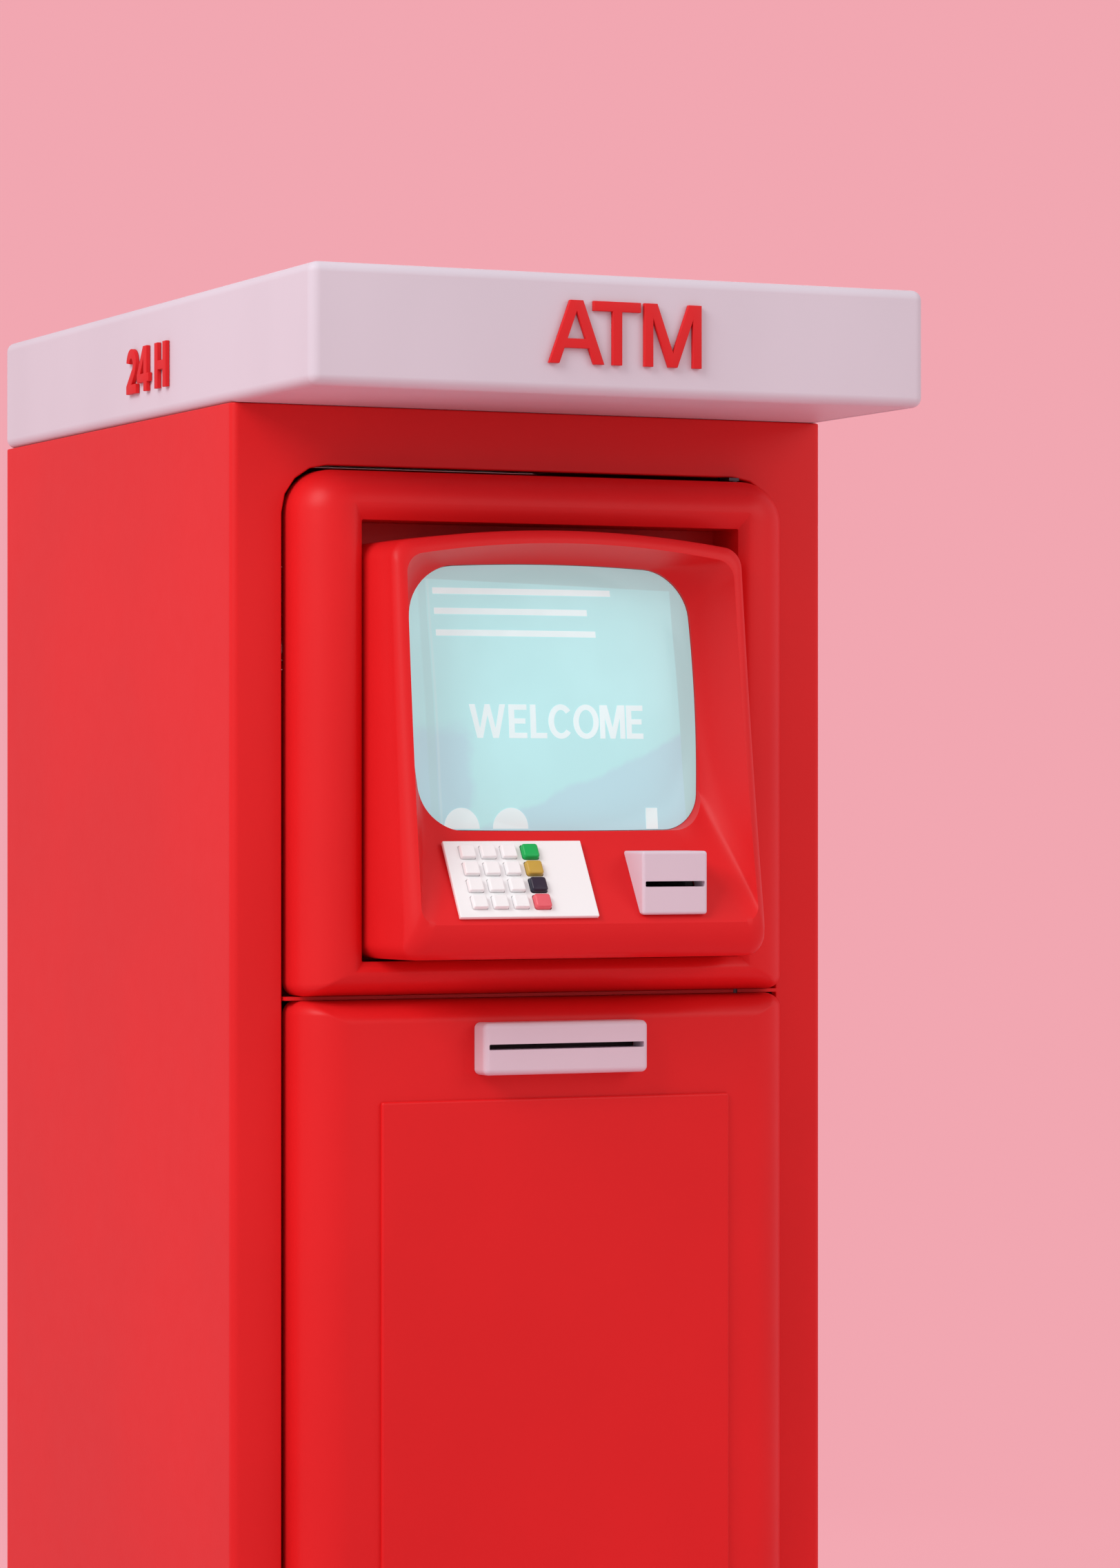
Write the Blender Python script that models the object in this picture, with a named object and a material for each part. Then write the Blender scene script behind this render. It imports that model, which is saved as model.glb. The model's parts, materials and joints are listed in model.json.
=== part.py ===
"""Free-standing cash machine: a steel cabinet with an overhanging sign canopy, a hinged
upper panel that carries the screen hood, keypad and card reader, and a hinged lower door
in front of the safe.  Metres, +Z up, front towards -Y, origin on the floor under the middle."""

import bpy
import bmesh
from math import cos, sin, tan, radians, pi
from mathutils import Matrix, Vector

# ---------------------------------------------------------------- driving dimensions
CABINET_WIDTH = 0.640
CABINET_DEPTH = 0.692
CABINET_TOP = 1.4625
CABINET_RADIUS = 0.008
WALL = 0.010
CANOPY_OVERHANG = 0.213
CANOPY_HEIGHT = 0.115
CANOPY_SIDE = 0.0025
CANOPY_RADIUS = 0.010
CANOPY_WALL = 0.014
SOFFIT_THICK = 0.004
FOOT_HEIGHT = 0.020
FOOT_RADIUS = 0.025
FOOT_INSET = 0.050
PLINTH_INSET = 0.020
PLINTH_TOP = 0.080
PLINTH_BAR = 0.030
FLOOR_THICK = 0.008
SHELL_BOTTOM = 0.050

FOOT_PAD = 0.012            # height of a foot's pad
FOOT_STEM = 0.0083
FOOT_SKIRT = 0.6            # share of the pad's height that stands straight
FOOT_SHOULDER = 0.8         # pad radius at its top, as a share of the foot's
REAR_THICK = 0.006
REAR_INSET = 0.006
VENT_COUNT = 8
VENT_HALF_WIDTH = 0.120
VENT_HIGH = 0.008
VENT_PITCH = 0.022
VENT_LOW_Z = 1.200
INLET_X = 0.190
INLET_Z = 0.180
INLET_HALF_WIDTH = 0.024
INLET_HALF_HIGH = 0.016
INLET_DEEP = 0.030
INLET_PROUD = 0.001
INLET_WELL = 0.016
WELL_HALF_WIDTH = 0.013
WELL_HALF_HIGH = 0.009
FAN_HALF = 0.060
FAN_Z = 1.285
FAN_THICK = 0.025
FAN_RIM = 0.004
FAN_HUB_RADIUS = 0.020
FAN_HUB_LONG = 0.0185
SPIDER_HALF_HIGH = 0.004
SPIDER_THICK = 0.0025
SPIDER_INSET = 0.0005
BLADE_COUNT = 7
BLADE_THICK = 0.002
BLADE_DEEP = 0.016
BLADE_TWIST = radians(35)
BLADE_ROOT = 0.002          # how far a blade's root reaches into the hub
BLADE_GAP = 0.0015

SEAT = 0.0003               # gap between two pieces that touch
FIT = 0.0005                # gap round a piece that fits in a hole
EDGE_GAP = 0.005            # gap round the upper panel and the lower door

CUT_HALF_WIDTH = 0.268      # the front cut-out that the panel and the door fill
CUT_BOTTOM = 0.110
CUT_TOP = 1.4045
CUT_RADIUS = 0.047
CUT_LOW_RADIUS = 0.020

MODULE_BACK = -0.012        # back edge of panel and door, measured forward of the cabinet front
MODULE_FACE = 0.053         # front face of panel and door
MODULE_WALL = 0.005
MODULE_FILLET = 0.045
GROOVE_Z = 0.887            # middle of the groove between the panel and the door
GROOVE_GAP = 0.004
PANEL_TOP_FILLET = 0.033
PANEL_LOW_FILLET = 0.0235
DOOR_TOP_FILLET = 0.022
GROOVE_CORNER = 0.014

WINDOW_HALF_WIDTH = 0.203   # the opening that the screen hood stands in
WINDOW_BOTTOM = 0.923
WINDOW_TOP = 1.350
WINDOW_BEVEL = 0.010
WINDOW_BEVEL_TALL = 0.016
WINDOW_EDGE = 0.045

FRAME_LIP = 0.003           # thickness of the frame's wall round the window
FRAME_LIP_DEEP = 0.010
SHARP_RADIUS = 0.0015
SMALLEST_RADIUS = 0.002

HOOD_BACK = 0.020           # how far behind the cabinet front the hood shell ends
HOOD_GAP = 0.003            # gap between the hood and the window it stands in
HOOD_DRAFT_TOP = 0.012      # how far the hood's sides lean in by its front edge
HOOD_DRAFT_LOW = 0.008
HOOD_TOP_GAP = 0.024        # from the window's top down to the hood's shoulder
HOOD_ARCH = 0.016
HOOD_RADIUS = 0.016
HOOD_ROUND = 0.013
HOOD_WALL = 0.004
HOOD_DEPTH_SKIN = 0.006
HOOD_DEPTH = 0.150          # rear housing, behind the cabinet front
HOOD_TAPER_START = 0.030
HOOD_REAR_INSET = 0.040
HOOD_REAR_RISE = 0.050
HOOD_REAR_DROP = 0.030
HOOD_REAR_RADIUS = 0.030
HOOD_REAR_THIN = 0.97       # inner over outer size at the tapered end
HOOD_REAR_MIDDLE = 0.004    # centre of that taper, above the hood's middle
HOOD_TAPER_LAP = 0.002
RIM_FALL = 0.062            # how far the side edges lean back from crease to shoulder
RIM_SAG = 0.012
LIP_DEEPER = 0.012          # extra rounding depth along the bottom lip
LIP_BLEND = 0.030
DISH_EDGE_UP = 0.003
DISH_POWER = 1.9
DISH_BLEND_TOP = 0.050      # above the glass's bottom, where the shelf turns into the dish
DISH_BLEND = 0.045
HOOD_ROOT_SET = 0.002       # how far behind the window's edge the hood's sides start to lean
FLANGE_REACH = 0.009
FLANGE_THICK = 0.004
CREASE_Z = 0.960            # where the keypad shelf meets the front lip
SHELF_TILT = radians(31.8)

GLASS_HALF_WIDTH = 0.150
GLASS_BOTTOM = 1.050
GLASS_TOP = 1.307
GLASS_RADIUS = 0.046
GLASS_BOW = 0.006
GLASS_THICK = 0.006
GLASS_LOW_FACE = 0.060      # how far forward the glass stands at its bottom edge
GLASS_HIGH_FACE = 0.032     # and at its top edge
GLASS_CROWN = 0.012
GLASS_SETBACK = 0.003       # how far the hood's inner edge reaches behind the glass edge
CROWN_STEPS = 5
TUBE_STAGES = [(0.96, 0.0), (0.95, 0.010), (0.72, 0.045), (0.40, 0.095), (0.13, 0.125)]
TUBE_END_GAP = 0.008

PLATE_WIDTH = 0.146
PLATE_LENGTH = 0.0853
PLATE_THICK = 0.0045
PLATE_CENTRE_X = -0.067
PLATE_CENTRE_Z = 1.00375
PLATE_CENTRE_FACE = 0.1175
KEY_PITCH_X = 0.0217
KEY_PITCH_Y = 0.0187
KEY_COLUMNS = 4
KEY_ROWS = 4
KEY_WIDTH = 0.0155
KEY_LENGTH = 0.0142
KEY_HEIGHT = 0.0045
KEY_TAIL = 0.001
KEY_TRAVEL = 0.0025
KEY_EDGE = 0.0012
COMMAND_KEY_EXTRA = 0.0016
KEY_BLOCK_UP = 0.0011       # the key block sits a little above the plate's middle
PLATE_MARGIN = 0.004
KEYS_LEFT = 0.0225          # from the plate's left edge to the first key's middle
PLATE_EDGE = 0.0008
KEY_BASE_DEEP = 0.020

READER_CENTRE_X = 0.087
READER_HALF_WIDTH = 0.035
READER_TOP = 1.0297
READER_BOTTOM = 0.9680
READER_FACE = 0.1400
CARD_SLOT_Z = 0.9977
CARD_SLOT_HALF = 0.032
CARD_SLOT_HIGH = 0.0055
CARD_WAY_SIDE = 0.002       # extra room beside the card, through the hood
CARD_WAY_HALF_HIGH = 0.005
READER_EDGE = 0.0025
READER_BODY_UP = 0.020
READER_BODY_DOWN = 0.024
READER_BODY_SIDE = 0.008
READER_BODY_TAIL = 0.005
READER_BACK_WALL = 0.008
CARD_ROLLER_RADIUS = 0.0055
CARD_ROLLER_WIDTH = 0.040
CARD_ROLLER_FACE = 0.060
CARD_ROLLER_REACH = 0.002   # how far the roller stands into the card's path
ROLLER_ROOM = 0.0008

CASH_HALF_WIDTH = 0.088
CASH_BOTTOM = 0.812
CASH_TOP = 0.863
CASH_DEEP = 0.025
CASH_RADIUS = 0.006
CASH_SLOT_Z = 0.8395
CASH_SLOT_HALF = 0.083
CASH_SLOT_HIGH = 0.0055
SHUTTER_HALF_HIGH = 0.006
SHUTTER_THICK = 0.002
SHUTTER_LAP = 0.0035        # how far the shutter reaches past the slot at each end
DOOR_MOUTH_HALF = 0.0045
DOOR_MOUTH_SIDE = 0.002

TRIM_HALF_WIDTH = 0.187     # raised panel on the lower door
TRIM_BOTTOM = 0.175
TRIM_TOP = 0.788
TRIM_THICK = 0.0045
TRIM_EDGE = 0.0025

PIN_RADIUS = 0.003
PIN_LENGTH = 0.018
HINGE_BACK_SET = 0.002      # hinge axis, behind the edge fillet's centre
HINGE_EYE = 0.005           # lug metal in front of the axis
LUG_THICK = 0.0030
LUG_LEFT = 0.008
LUG_RIGHT = 0.003
LUG_FOOT_THICK = 0.004
LUG_FOOT_TALL = 0.025
PIN_HOLE_DEEP = 0.020
RAIL_FRONT = 0.050          # the rail between panel and door, behind the cabinet front
RAIL_BACK = 0.062
RAIL_DROP = 0.004
RAIL_RISE = 0.016
RAIL_BLADE_FACE = 0.0085
RAIL_BLADE_LAP = 0.005
RAIL_BLADE_GAP = 0.0015

SAFE_HALF_WIDTH = 0.168
SAFE_BACK_GAP = 0.1054      # from the safe's back to the cabinet's back
SAFE_FRONT = 0.0266         # behind the cabinet front
SAFE_DROP = 0.003           # from the rail's underside down to the safe's top
SAFE_WALL = 0.015
SAFE_MOUTH_HALF = 0.140
SLAB_THICK = 0.012
SLAB_HALF_WIDTH = 0.200
RACK_HALF_WIDTH = 0.138
RACK_WALL = 0.008
RACK_FRONT = 0.060          # behind the cabinet front
RACK_BACK_GAP = 0.0916      # from the rack's back to the safe's back wall
BAY_HEIGHT = 0.130
BAY_COUNT = 3
CASSETTE_RUN = 0.0010       # running gap beside a cash cassette
CASSETTE_END_GAP = 0.006
CASSETTE_HEADROOM = 0.004
GRIP_HALF_WIDTH = 0.045
GRIP_HALF_HIGH = 0.014
GRIP_DEEP = 0.025
GRIP_UP = 0.078             # from a bay's floor to the grip's middle
TRANSPORT_FRONT = 0.030     # behind the cabinet front
TRANSPORT_BACK = 0.300
TRANSPORT_HALF = 0.110
TRANSPORT_WALL = 0.008
THROAT_SIDE = 0.015
THROAT_HALF_HIGH = 0.022
THROAT_DEEP = 0.045
ROLLER_RADIUS = 0.0085
ROLLER_BACK = 0.020         # from the transport's front to the rollers' axes
SHELF_THICK = 0.006
SHELF_FRONT = 0.0625        # behind the cabinet front
SHELF_BACK_GAP = 0.013
CABLE_HOLE = 0.020
CABLE_HOLE_BACK = 0.060
CASE_WALL = 0.003
CASE_BACK_GAP = 0.042
CASE_OUTER = 0.290
CASE_INNER = 0.060
CASE_VENT_HALF = 0.040
CASE_VENT_LOW = 0.020
CASE_VENT_HIGH = 0.050
CONTROLLER_LONG = 0.250
CONTROLLER_TALL = 0.135
SUPPLY_LONG = 0.200
SUPPLY_TALL = 0.095

LOCK_X = -0.125
LOCK_Z = 0.300
LOCK_RADIUS = 0.010
LOCK_ROD = 0.006
LOCK_STEP = 0.014           # length of the key head
LOCK_PROUD = 0.0015
KEYWAY_HALF_WIDTH = 0.001
KEYWAY_HALF_TALL = 0.005
KEYWAY_DEEP = 0.006
HEAD_CHAMFER = 0.001            # chamfer of the key head
CAM_LENGTH = 0.024
CAM_THICK = 0.004
CAM_GAP = 0.0025            # running gap between the cam and the safe's flange
OVERCUT = 0.010             # how far a cutter runs past the face it cuts
SAME = 1e-6                 # places nearer than this are one place

# ---------------------------------------------------------------- sizes that follow
FRONT = -(CABINET_DEPTH + CANOPY_OVERHANG) / 2 + CANOPY_OVERHANG
BACK = FRONT + CABINET_DEPTH
HALF = CABINET_WIDTH / 2
INNER = HALF - WALL
FLOOR_Z = PLINTH_TOP + SEAT
DECK = FLOOR_Z + FLOOR_THICK + SEAT
MODULE_HALF = CUT_HALF_WIDTH - EDGE_GAP
PANEL_BOTTOM = GROOVE_Z + GROOVE_GAP / 2
PANEL_TOP = CUT_TOP - EDGE_GAP
DOOR_TOP = GROOVE_Z - GROOVE_GAP / 2
DOOR_BOTTOM = CUT_BOTTOM + EDGE_GAP
MODULE_RADIUS = CUT_RADIUS - EDGE_GAP
HINGE_X = CUT_HALF_WIDTH - CUT_RADIUS - LUG_RIGHT
HINGE_FACE = MODULE_FACE - MODULE_FILLET - HINGE_BACK_SET
HOOD_ROOT_HALF = WINDOW_HALF_WIDTH - HOOD_GAP
HOOD_HALF_TOP = HOOD_ROOT_HALF - HOOD_DRAFT_TOP
HOOD_HALF_LOW = HOOD_ROOT_HALF - HOOD_DRAFT_LOW
HOOD_BOTTOM = WINDOW_BOTTOM + HOOD_GAP
HOOD_SHOULDER = WINDOW_TOP - HOOD_TOP_GAP
SHELF_FACE = PLATE_CENTRE_FACE - (PLATE_THICK + SEAT) / cos(SHELF_TILT)
SAFE_FLOOR = DECK + SAFE_WALL
SAFE_TOP = GROOVE_Z - RAIL_DROP - SAFE_DROP
SAFE_DEPTH = CABINET_DEPTH - SAFE_FRONT - SAFE_BACK_GAP
RACK_DEPTH = SAFE_FRONT + SAFE_DEPTH - SAFE_WALL - RACK_BACK_GAP - RACK_FRONT
REAR_FACE = BACK - REAR_INSET

SIDE_STEPS = 6
CORNER_STEPS = 4
FILLET_STEPS = 5
ROUND_STEPS = 4
DISH_STEPS = 5


def at(forward):
    """World Y of a place this far in front of the cabinet front."""
    return FRONT - forward


def shelf_face(z):
    """How far forward the sloping keypad shelf stands at a height."""
    return SHELF_FACE + (PLATE_CENTRE_Z - z) * tan(SHELF_TILT)


def rim_face(z):
    """How far forward the hood's side edges stand: a shallow curve, further out lower down."""
    low = shelf_face(CREASE_Z)
    run = (z - CREASE_Z) / (HOOD_SHOULDER - CREASE_Z)
    return low - RIM_FALL * run + RIM_SAG * run * run


def glass_face(z):
    """How far forward the edge of the screen glass stands at a height."""
    run = (z - GLASS_BOTTOM) / (GLASS_TOP - GLASS_BOTTOM)
    return GLASS_LOW_FACE + (GLASS_HIGH_FACE - GLASS_LOW_FACE) * run


# ---------------------------------------------------------------- building tools
def clear_scene():
    for old in list(bpy.data.objects):
        bpy.data.objects.remove(old, do_unlink=True)


def material(name, colour, roughness=0.5, metallic=0.0):
    mat = bpy.data.materials.new(name)
    mat.use_nodes = True
    shader = mat.node_tree.nodes["Principled BSDF"]
    shader.inputs["Base Color"].default_value = (*colour, 1.0)
    shader.inputs["Roughness"].default_value = roughness
    shader.inputs["Metallic"].default_value = metallic
    mat.diffuse_color = (*colour, 1.0)
    return mat


def add(name, bm, finish, origin=(0, 0, 0)):
    """Turn world-space geometry into a named object whose origin is at origin."""
    bmesh.ops.recalc_face_normals(bm, faces=bm.faces)
    bmesh.ops.translate(bm, vec=-Vector(origin), verts=bm.verts)
    mesh = bpy.data.meshes.new(name)
    bm.to_mesh(mesh)
    bm.free()
    if finish is not None:
        mesh.materials.append(finish.copy())
        mesh.materials[0].name = name
    obj = bpy.data.objects.new(name, mesh)
    obj.location = origin
    bpy.context.scene.collection.objects.link(obj)
    return obj


def block(lo, hi):
    """A box between two corners, as geometry."""
    bm = bmesh.new()
    bmesh.ops.create_cube(bm, size=1.0)
    size = [h - l for l, h in zip(lo, hi)]
    mid = [(h + l) / 2 for l, h in zip(lo, hi)]
    bmesh.ops.scale(bm, vec=size, verts=bm.verts)
    bmesh.ops.translate(bm, vec=mid, verts=bm.verts)
    return bm


def soften(bm, width, segments=2, pick=None):
    """Bevel the picked edges, or all of them."""
    edges = [e for e in bm.edges if pick is None or pick(e)]
    bmesh.ops.bevel(bm, geom=edges, offset=width, segments=segments, profile=0.5, affect="EDGES")
    return bm


def box(name, lo, hi, finish, edge=0.0, segments=2, origin=(0, 0, 0)):
    bm = block(lo, hi)
    if edge:
        soften(bm, edge, segments)
    return add(name, bm, finish, origin)


def turned(profile, centre, axis, steps=24):
    """A turned solid: profile is (radius, distance along axis) from one end to the other."""
    bm = bmesh.new()
    frame = Vector(axis).to_track_quat("Z", "Y").to_matrix()
    rings = []
    for radius, along in profile:
        if radius == 0:
            rings.append([bm.verts.new(Vector(centre) + frame @ Vector((0, 0, along)))])
            continue
        ring = []
        for i in range(steps):
            a = 2 * pi * i / steps
            spoke = Vector((radius * cos(a), radius * sin(a), along))
            ring.append(bm.verts.new(Vector(centre) + frame @ spoke))
        rings.append(ring)
    for first, second in zip(rings, rings[1:]):
        for i in range(steps):
            j = (i + 1) % steps
            if len(first) == 1:
                bm.faces.new((first[0], second[i], second[j]))
            elif len(second) == 1:
                bm.faces.new((first[i], first[j], second[0]))
            else:
                bm.faces.new((first[i], first[j], second[j], second[i]))
    return bm


def rod(radius, centre, axis, length, steps=24):
    """A plain round bar centred on a point, as geometry."""
    half = length / 2
    return turned([(0, -half), (radius, -half), (radius, half), (0, half)], centre, axis, steps)


def carve(obj, bm, operation="DIFFERENCE"):
    """Cut geometry out of an object, or join it on, with a live Boolean."""
    cutter = add(f"{obj.name}_tool_{len(obj.modifiers)}", bm, None)
    cutter.hide_render = True
    cutter.display_type = "WIRE"
    boolean = obj.modifiers.new("cut", "BOOLEAN")
    boolean.operation = operation
    boolean.solver = "EXACT"
    boolean.object = cutter


def outline(half_low, half_high, bottom, top, low_radius, high_radius, arch=0.0, bow=0.0):
    """Points (x, z) round a rounded rectangle, whose width may change with height."""
    corners = [(half_low, bottom, low_radius, -90), (half_high, top, high_radius, 0),
               (-half_high, top, high_radius, 90), (-half_low, bottom, low_radius, 180)]
    arcs = []
    for x, z, radius, start in corners:
        cx = x - radius if x > 0 else x + radius
        cz = z + radius if z == bottom else z - radius
        arc = []
        for i in range(CORNER_STEPS + 1):
            a = radians(start + 90 * i / CORNER_STEPS)
            arc.append((cx + radius * cos(a), cz + radius * sin(a)))
        arcs.append(arc)
    points = []
    for k, arc in enumerate(arcs):
        nxt = arcs[(k + 1) % 4][0]
        points += arc
        for i in range(1, SIDE_STEPS):
            t = i / SIDE_STEPS
            points.append((arc[-1][0] * (1 - t) + nxt[0] * t, arc[-1][1] * (1 - t) + nxt[1] * t))
    middle = (bottom + top) / 2
    tall = (top - bottom) / 2
    wide = max(half_low, half_high)
    shaped = []
    for x, z in points:
        v = (z - middle) / tall
        u = x / wide
        rise = arch * (1 - u * u) * max(v, 0) + bow * (1 - u * u) * v
        shaped.append((x + bow * (1 - v * v) * u, z + rise))
    return shaped


def loop(points, forward):
    """Lift an outline into the model: forward is a distance or a function of height."""
    if callable(forward):
        return [Vector((x, at(forward(z)), z)) for x, z in points]
    return [Vector((x, at(forward), z)) for x, z in points]


def skin(loops, closed):
    """Join loops of equal length into a solid: a closed ring, or a body capped at both ends."""
    bm = bmesh.new()
    rows = [[bm.verts.new(p) for p in points] for points in loops]
    pairs = list(zip(rows, rows[1:]))
    if closed:
        pairs.append((rows[-1], rows[0]))
    count = len(rows[0])
    for first, second in pairs:
        for i in range(count):
            j = (i + 1) % count
            bm.faces.new((first[i], first[j], second[j], second[i]))
    if not closed:
        bm.faces.new(rows[0])
        bm.faces.new(rows[-1][::-1])
    return bm


def slope():
    """Matrix from a flat drawing (x right, y up the slope, z off the face) to the keypad slope."""
    turn = Matrix.Rotation(pi / 2 - SHELF_TILT, 4, "X")
    return Matrix.Translation((PLATE_CENTRE_X, at(PLATE_CENTRE_FACE), PLATE_CENTRE_Z)) @ turn


def tilted(bm):
    """Move geometry drawn flat onto the keypad slope."""
    bmesh.ops.transform(bm, matrix=slope(), verts=bm.verts)
    return bm


# ---------------------------------------------------------------- finishes
def finishes():
    return {
        "red": material("red", (0.73, 0.025, 0.03), 0.38),
        "pale": material("pale", (0.80, 0.66, 0.76), 0.45),
        "white": material("white", (0.93, 0.93, 0.93), 0.35),
        "green": material("green", (0.01, 0.38, 0.08), 0.4),
        "yellow": material("yellow", (0.58, 0.38, 0.07), 0.4),
        "navy": material("navy", (0.03, 0.03, 0.05), 0.4),
        "rose": material("rose", (0.75, 0.06, 0.09), 0.4),
        "glass": material("glass", (0.50, 0.80, 0.80), 0.08),
        "steel": material("steel", (0.45, 0.46, 0.48), 0.35, 1.0),
        "dark": material("dark", (0.05, 0.05, 0.055), 0.5),
        "grey": material("grey", (0.35, 0.36, 0.38), 0.5, 0.6),
        "rubber": material("rubber", (0.03, 0.03, 0.03), 0.8),
    }


# ---------------------------------------------------------------- cabinet
def cabinet_shell(f):
    bm = block((-HALF, FRONT, SHELL_BOTTOM), (HALF, BACK, CABINET_TOP))
    soften(bm, CABINET_RADIUS, 3, lambda e: abs(e.verts[0].co.z - e.verts[1].co.z) > WALL
           and e.verts[0].co.y < 0)
    shell = add("cabinet_shell", bm, f["red"])
    inside = block((-INNER, FRONT + WALL, 0), (INNER, BACK + WALL, CABINET_TOP - WALL))
    carve(shell, inside)
    points = outline(CUT_HALF_WIDTH, CUT_HALF_WIDTH, CUT_BOTTOM, CUT_TOP, CUT_LOW_RADIUS, CUT_RADIUS)
    carve(shell, skin([loop(points, WALL), loop(points, -2 * WALL)], False))


def cabinet_base(f):
    lo = PLINTH_INSET
    edge = (HALF - lo, FRONT + lo, BACK - lo)
    plinth = box("plinth", (-edge[0], edge[1], FOOT_HEIGHT), (edge[0], edge[2], PLINTH_TOP), f["dark"])
    carve(plinth, block((-edge[0] + PLINTH_BAR, edge[1] + PLINTH_BAR, 0),
                        (edge[0] - PLINTH_BAR, edge[2] - PLINTH_BAR, 2 * PLINTH_TOP)))
    top = FOOT_HEIGHT - SEAT
    profile = [(0, 0), (FOOT_RADIUS, 0), (FOOT_RADIUS, FOOT_PAD * FOOT_SKIRT),
               (FOOT_RADIUS * FOOT_SHOULDER, FOOT_PAD), (FOOT_STEM, FOOT_PAD), (FOOT_STEM, top), (0, top)]
    rows = (FRONT + FOOT_INSET, BACK - FOOT_INSET)
    places = [(side * (HALF - FOOT_INSET), y) for y in rows for side in (-1, 1)]
    for number, (x, y) in enumerate(places, 1):
        add(f"levelling_foot_{number}", turned(profile, (x, y, 0), (0, 0, 1)), f["rubber"], (x, y, 0))
    box("floor_plate", (-INNER + FIT, FRONT + WALL + FIT, FLOOR_Z),
        (INNER - FIT, BACK - WALL / 2, FLOOR_Z + FLOOR_THICK), f["steel"])


def rear_panel(f):
    face = REAR_FACE
    inner = face - REAR_THICK
    top = CABINET_TOP - WALL - FIT
    panel = box("rear_panel", (-INNER + FIT, inner, DECK), (INNER - FIT, face, top), f["red"])
    for k in range(VENT_COUNT):
        z = VENT_LOW_Z + k * VENT_PITCH
        carve(panel, block((-VENT_HALF_WIDTH, inner - REAR_THICK, z),
                           (VENT_HALF_WIDTH, face + REAR_THICK, z + VENT_HIGH)))
    left, right = INLET_X - INLET_HALF_WIDTH, INLET_X + INLET_HALF_WIDTH
    low, high = INLET_Z - INLET_HALF_HIGH, INLET_Z + INLET_HALF_HIGH
    carve(panel, block((left, inner - REAR_THICK, low), (right, face + REAR_THICK, high)))
    body = box("power_inlet", (left + FIT, face - INLET_DEEP, low + FIT),
               (right - FIT, face + INLET_PROUD, high - FIT), f["dark"])
    carve(body, block((INLET_X - WELL_HALF_WIDTH, face - INLET_WELL, INLET_Z - WELL_HALF_HIGH),
                      (INLET_X + WELL_HALF_WIDTH, BACK, INLET_Z + WELL_HALF_HIGH)))
    fan(f, inner)


def fan(f, inner):
    """Square fan frame behind the vents, with a rotor on its own axis."""
    deep = FAN_THICK / 2
    hub = (0, inner - SEAT - deep, FAN_Z)
    frame = box("fan_frame", (-FAN_HALF, hub[1] - deep, FAN_Z - FAN_HALF),
                (FAN_HALF, hub[1] + deep, FAN_Z + FAN_HALF), f["dark"])
    bore = FAN_HALF - FAN_RIM
    carve(frame, rod(bore, hub, (0, 1, 0), 2 * FAN_THICK, 32))
    back = hub[1] + deep - SPIDER_INSET
    reach = FAN_HALF - FAN_RIM / 2
    carve(frame, block((-reach, back - SPIDER_THICK, FAN_Z - SPIDER_HALF_HIGH),
                       (reach, back, FAN_Z + SPIDER_HALF_HIGH)), "UNION")
    rotor = add("fan_rotor", rod(FAN_HUB_RADIUS, hub, (0, 1, 0), FAN_HUB_LONG, 24), f["dark"], hub)
    for k in range(BLADE_COUNT):
        blade = block((FAN_HUB_RADIUS - BLADE_ROOT, -BLADE_DEEP / 2, -BLADE_THICK / 2),
                      (bore - BLADE_GAP, BLADE_DEEP / 2, BLADE_THICK / 2))
        twist = Matrix.Rotation(BLADE_TWIST, 4, "X")
        spin = Matrix.Rotation(2 * pi * k / BLADE_COUNT, 4, "Y")
        place = Matrix.Translation(hub) @ spin @ twist
        bmesh.ops.transform(blade, matrix=place, verts=blade.verts)
        carve(rotor, blade, "UNION")


def canopy(f):
    x = HALF + CANOPY_SIDE
    bottom = CABINET_TOP + SEAT
    top = bottom + CANOPY_HEIGHT
    nose = FRONT - CANOPY_OVERHANG
    shell = box("canopy_shell", (-x, nose, bottom), (x, BACK, top), f["pale"], CANOPY_RADIUS, 3)
    w = CANOPY_WALL
    carve(shell, block((-x + w, nose + w, 0), (x - w, BACK - w, top - w)))
    box("canopy_soffit", (-x + w + FIT, nose + w + FIT, bottom),
        (x - w - FIT, BACK - w - FIT, bottom + SOFFIT_THICK), f["pale"])


def hinge_parts(f):
    """One rail and two lugs hold the pivot pins; the axis stands just behind the edge fillet's centre."""
    y = at(HINGE_FACE)
    tongue = (GROOVE_GAP - 2 * SEAT) / 2
    rail = box("centre_rail", (-INNER + FIT, at(-RAIL_BACK), GROOVE_Z - RAIL_DROP),
               (INNER - FIT, at(-RAIL_FRONT), GROOVE_Z + RAIL_RISE), f["red"])
    reach = CUT_HALF_WIDTH - RAIL_BLADE_GAP
    carve(rail, block((-reach, at(RAIL_BLADE_FACE), GROOVE_Z - tongue),
                      (reach, at(-RAIL_FRONT - RAIL_BLADE_LAP), GROOVE_Z + tongue)), "UNION")
    pivot = (HINGE_X, y, GROOVE_Z)
    carve(rail, rod(PIN_RADIUS + SEAT, pivot, (0, 0, 1), PIN_HOLE_DEEP))
    add("centre_hinge_pin", rod(PIN_RADIUS, pivot, (0, 0, 1), 2 * PIN_LENGTH), f["steel"], pivot)
    clear = (EDGE_GAP - LUG_THICK) / 2
    hinge_lug(f, "top_hinge_lug", PANEL_TOP + clear, -1)
    hinge_lug(f, "bottom_hinge_lug", DOOR_BOTTOM - clear - LUG_THICK, 1)


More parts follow.
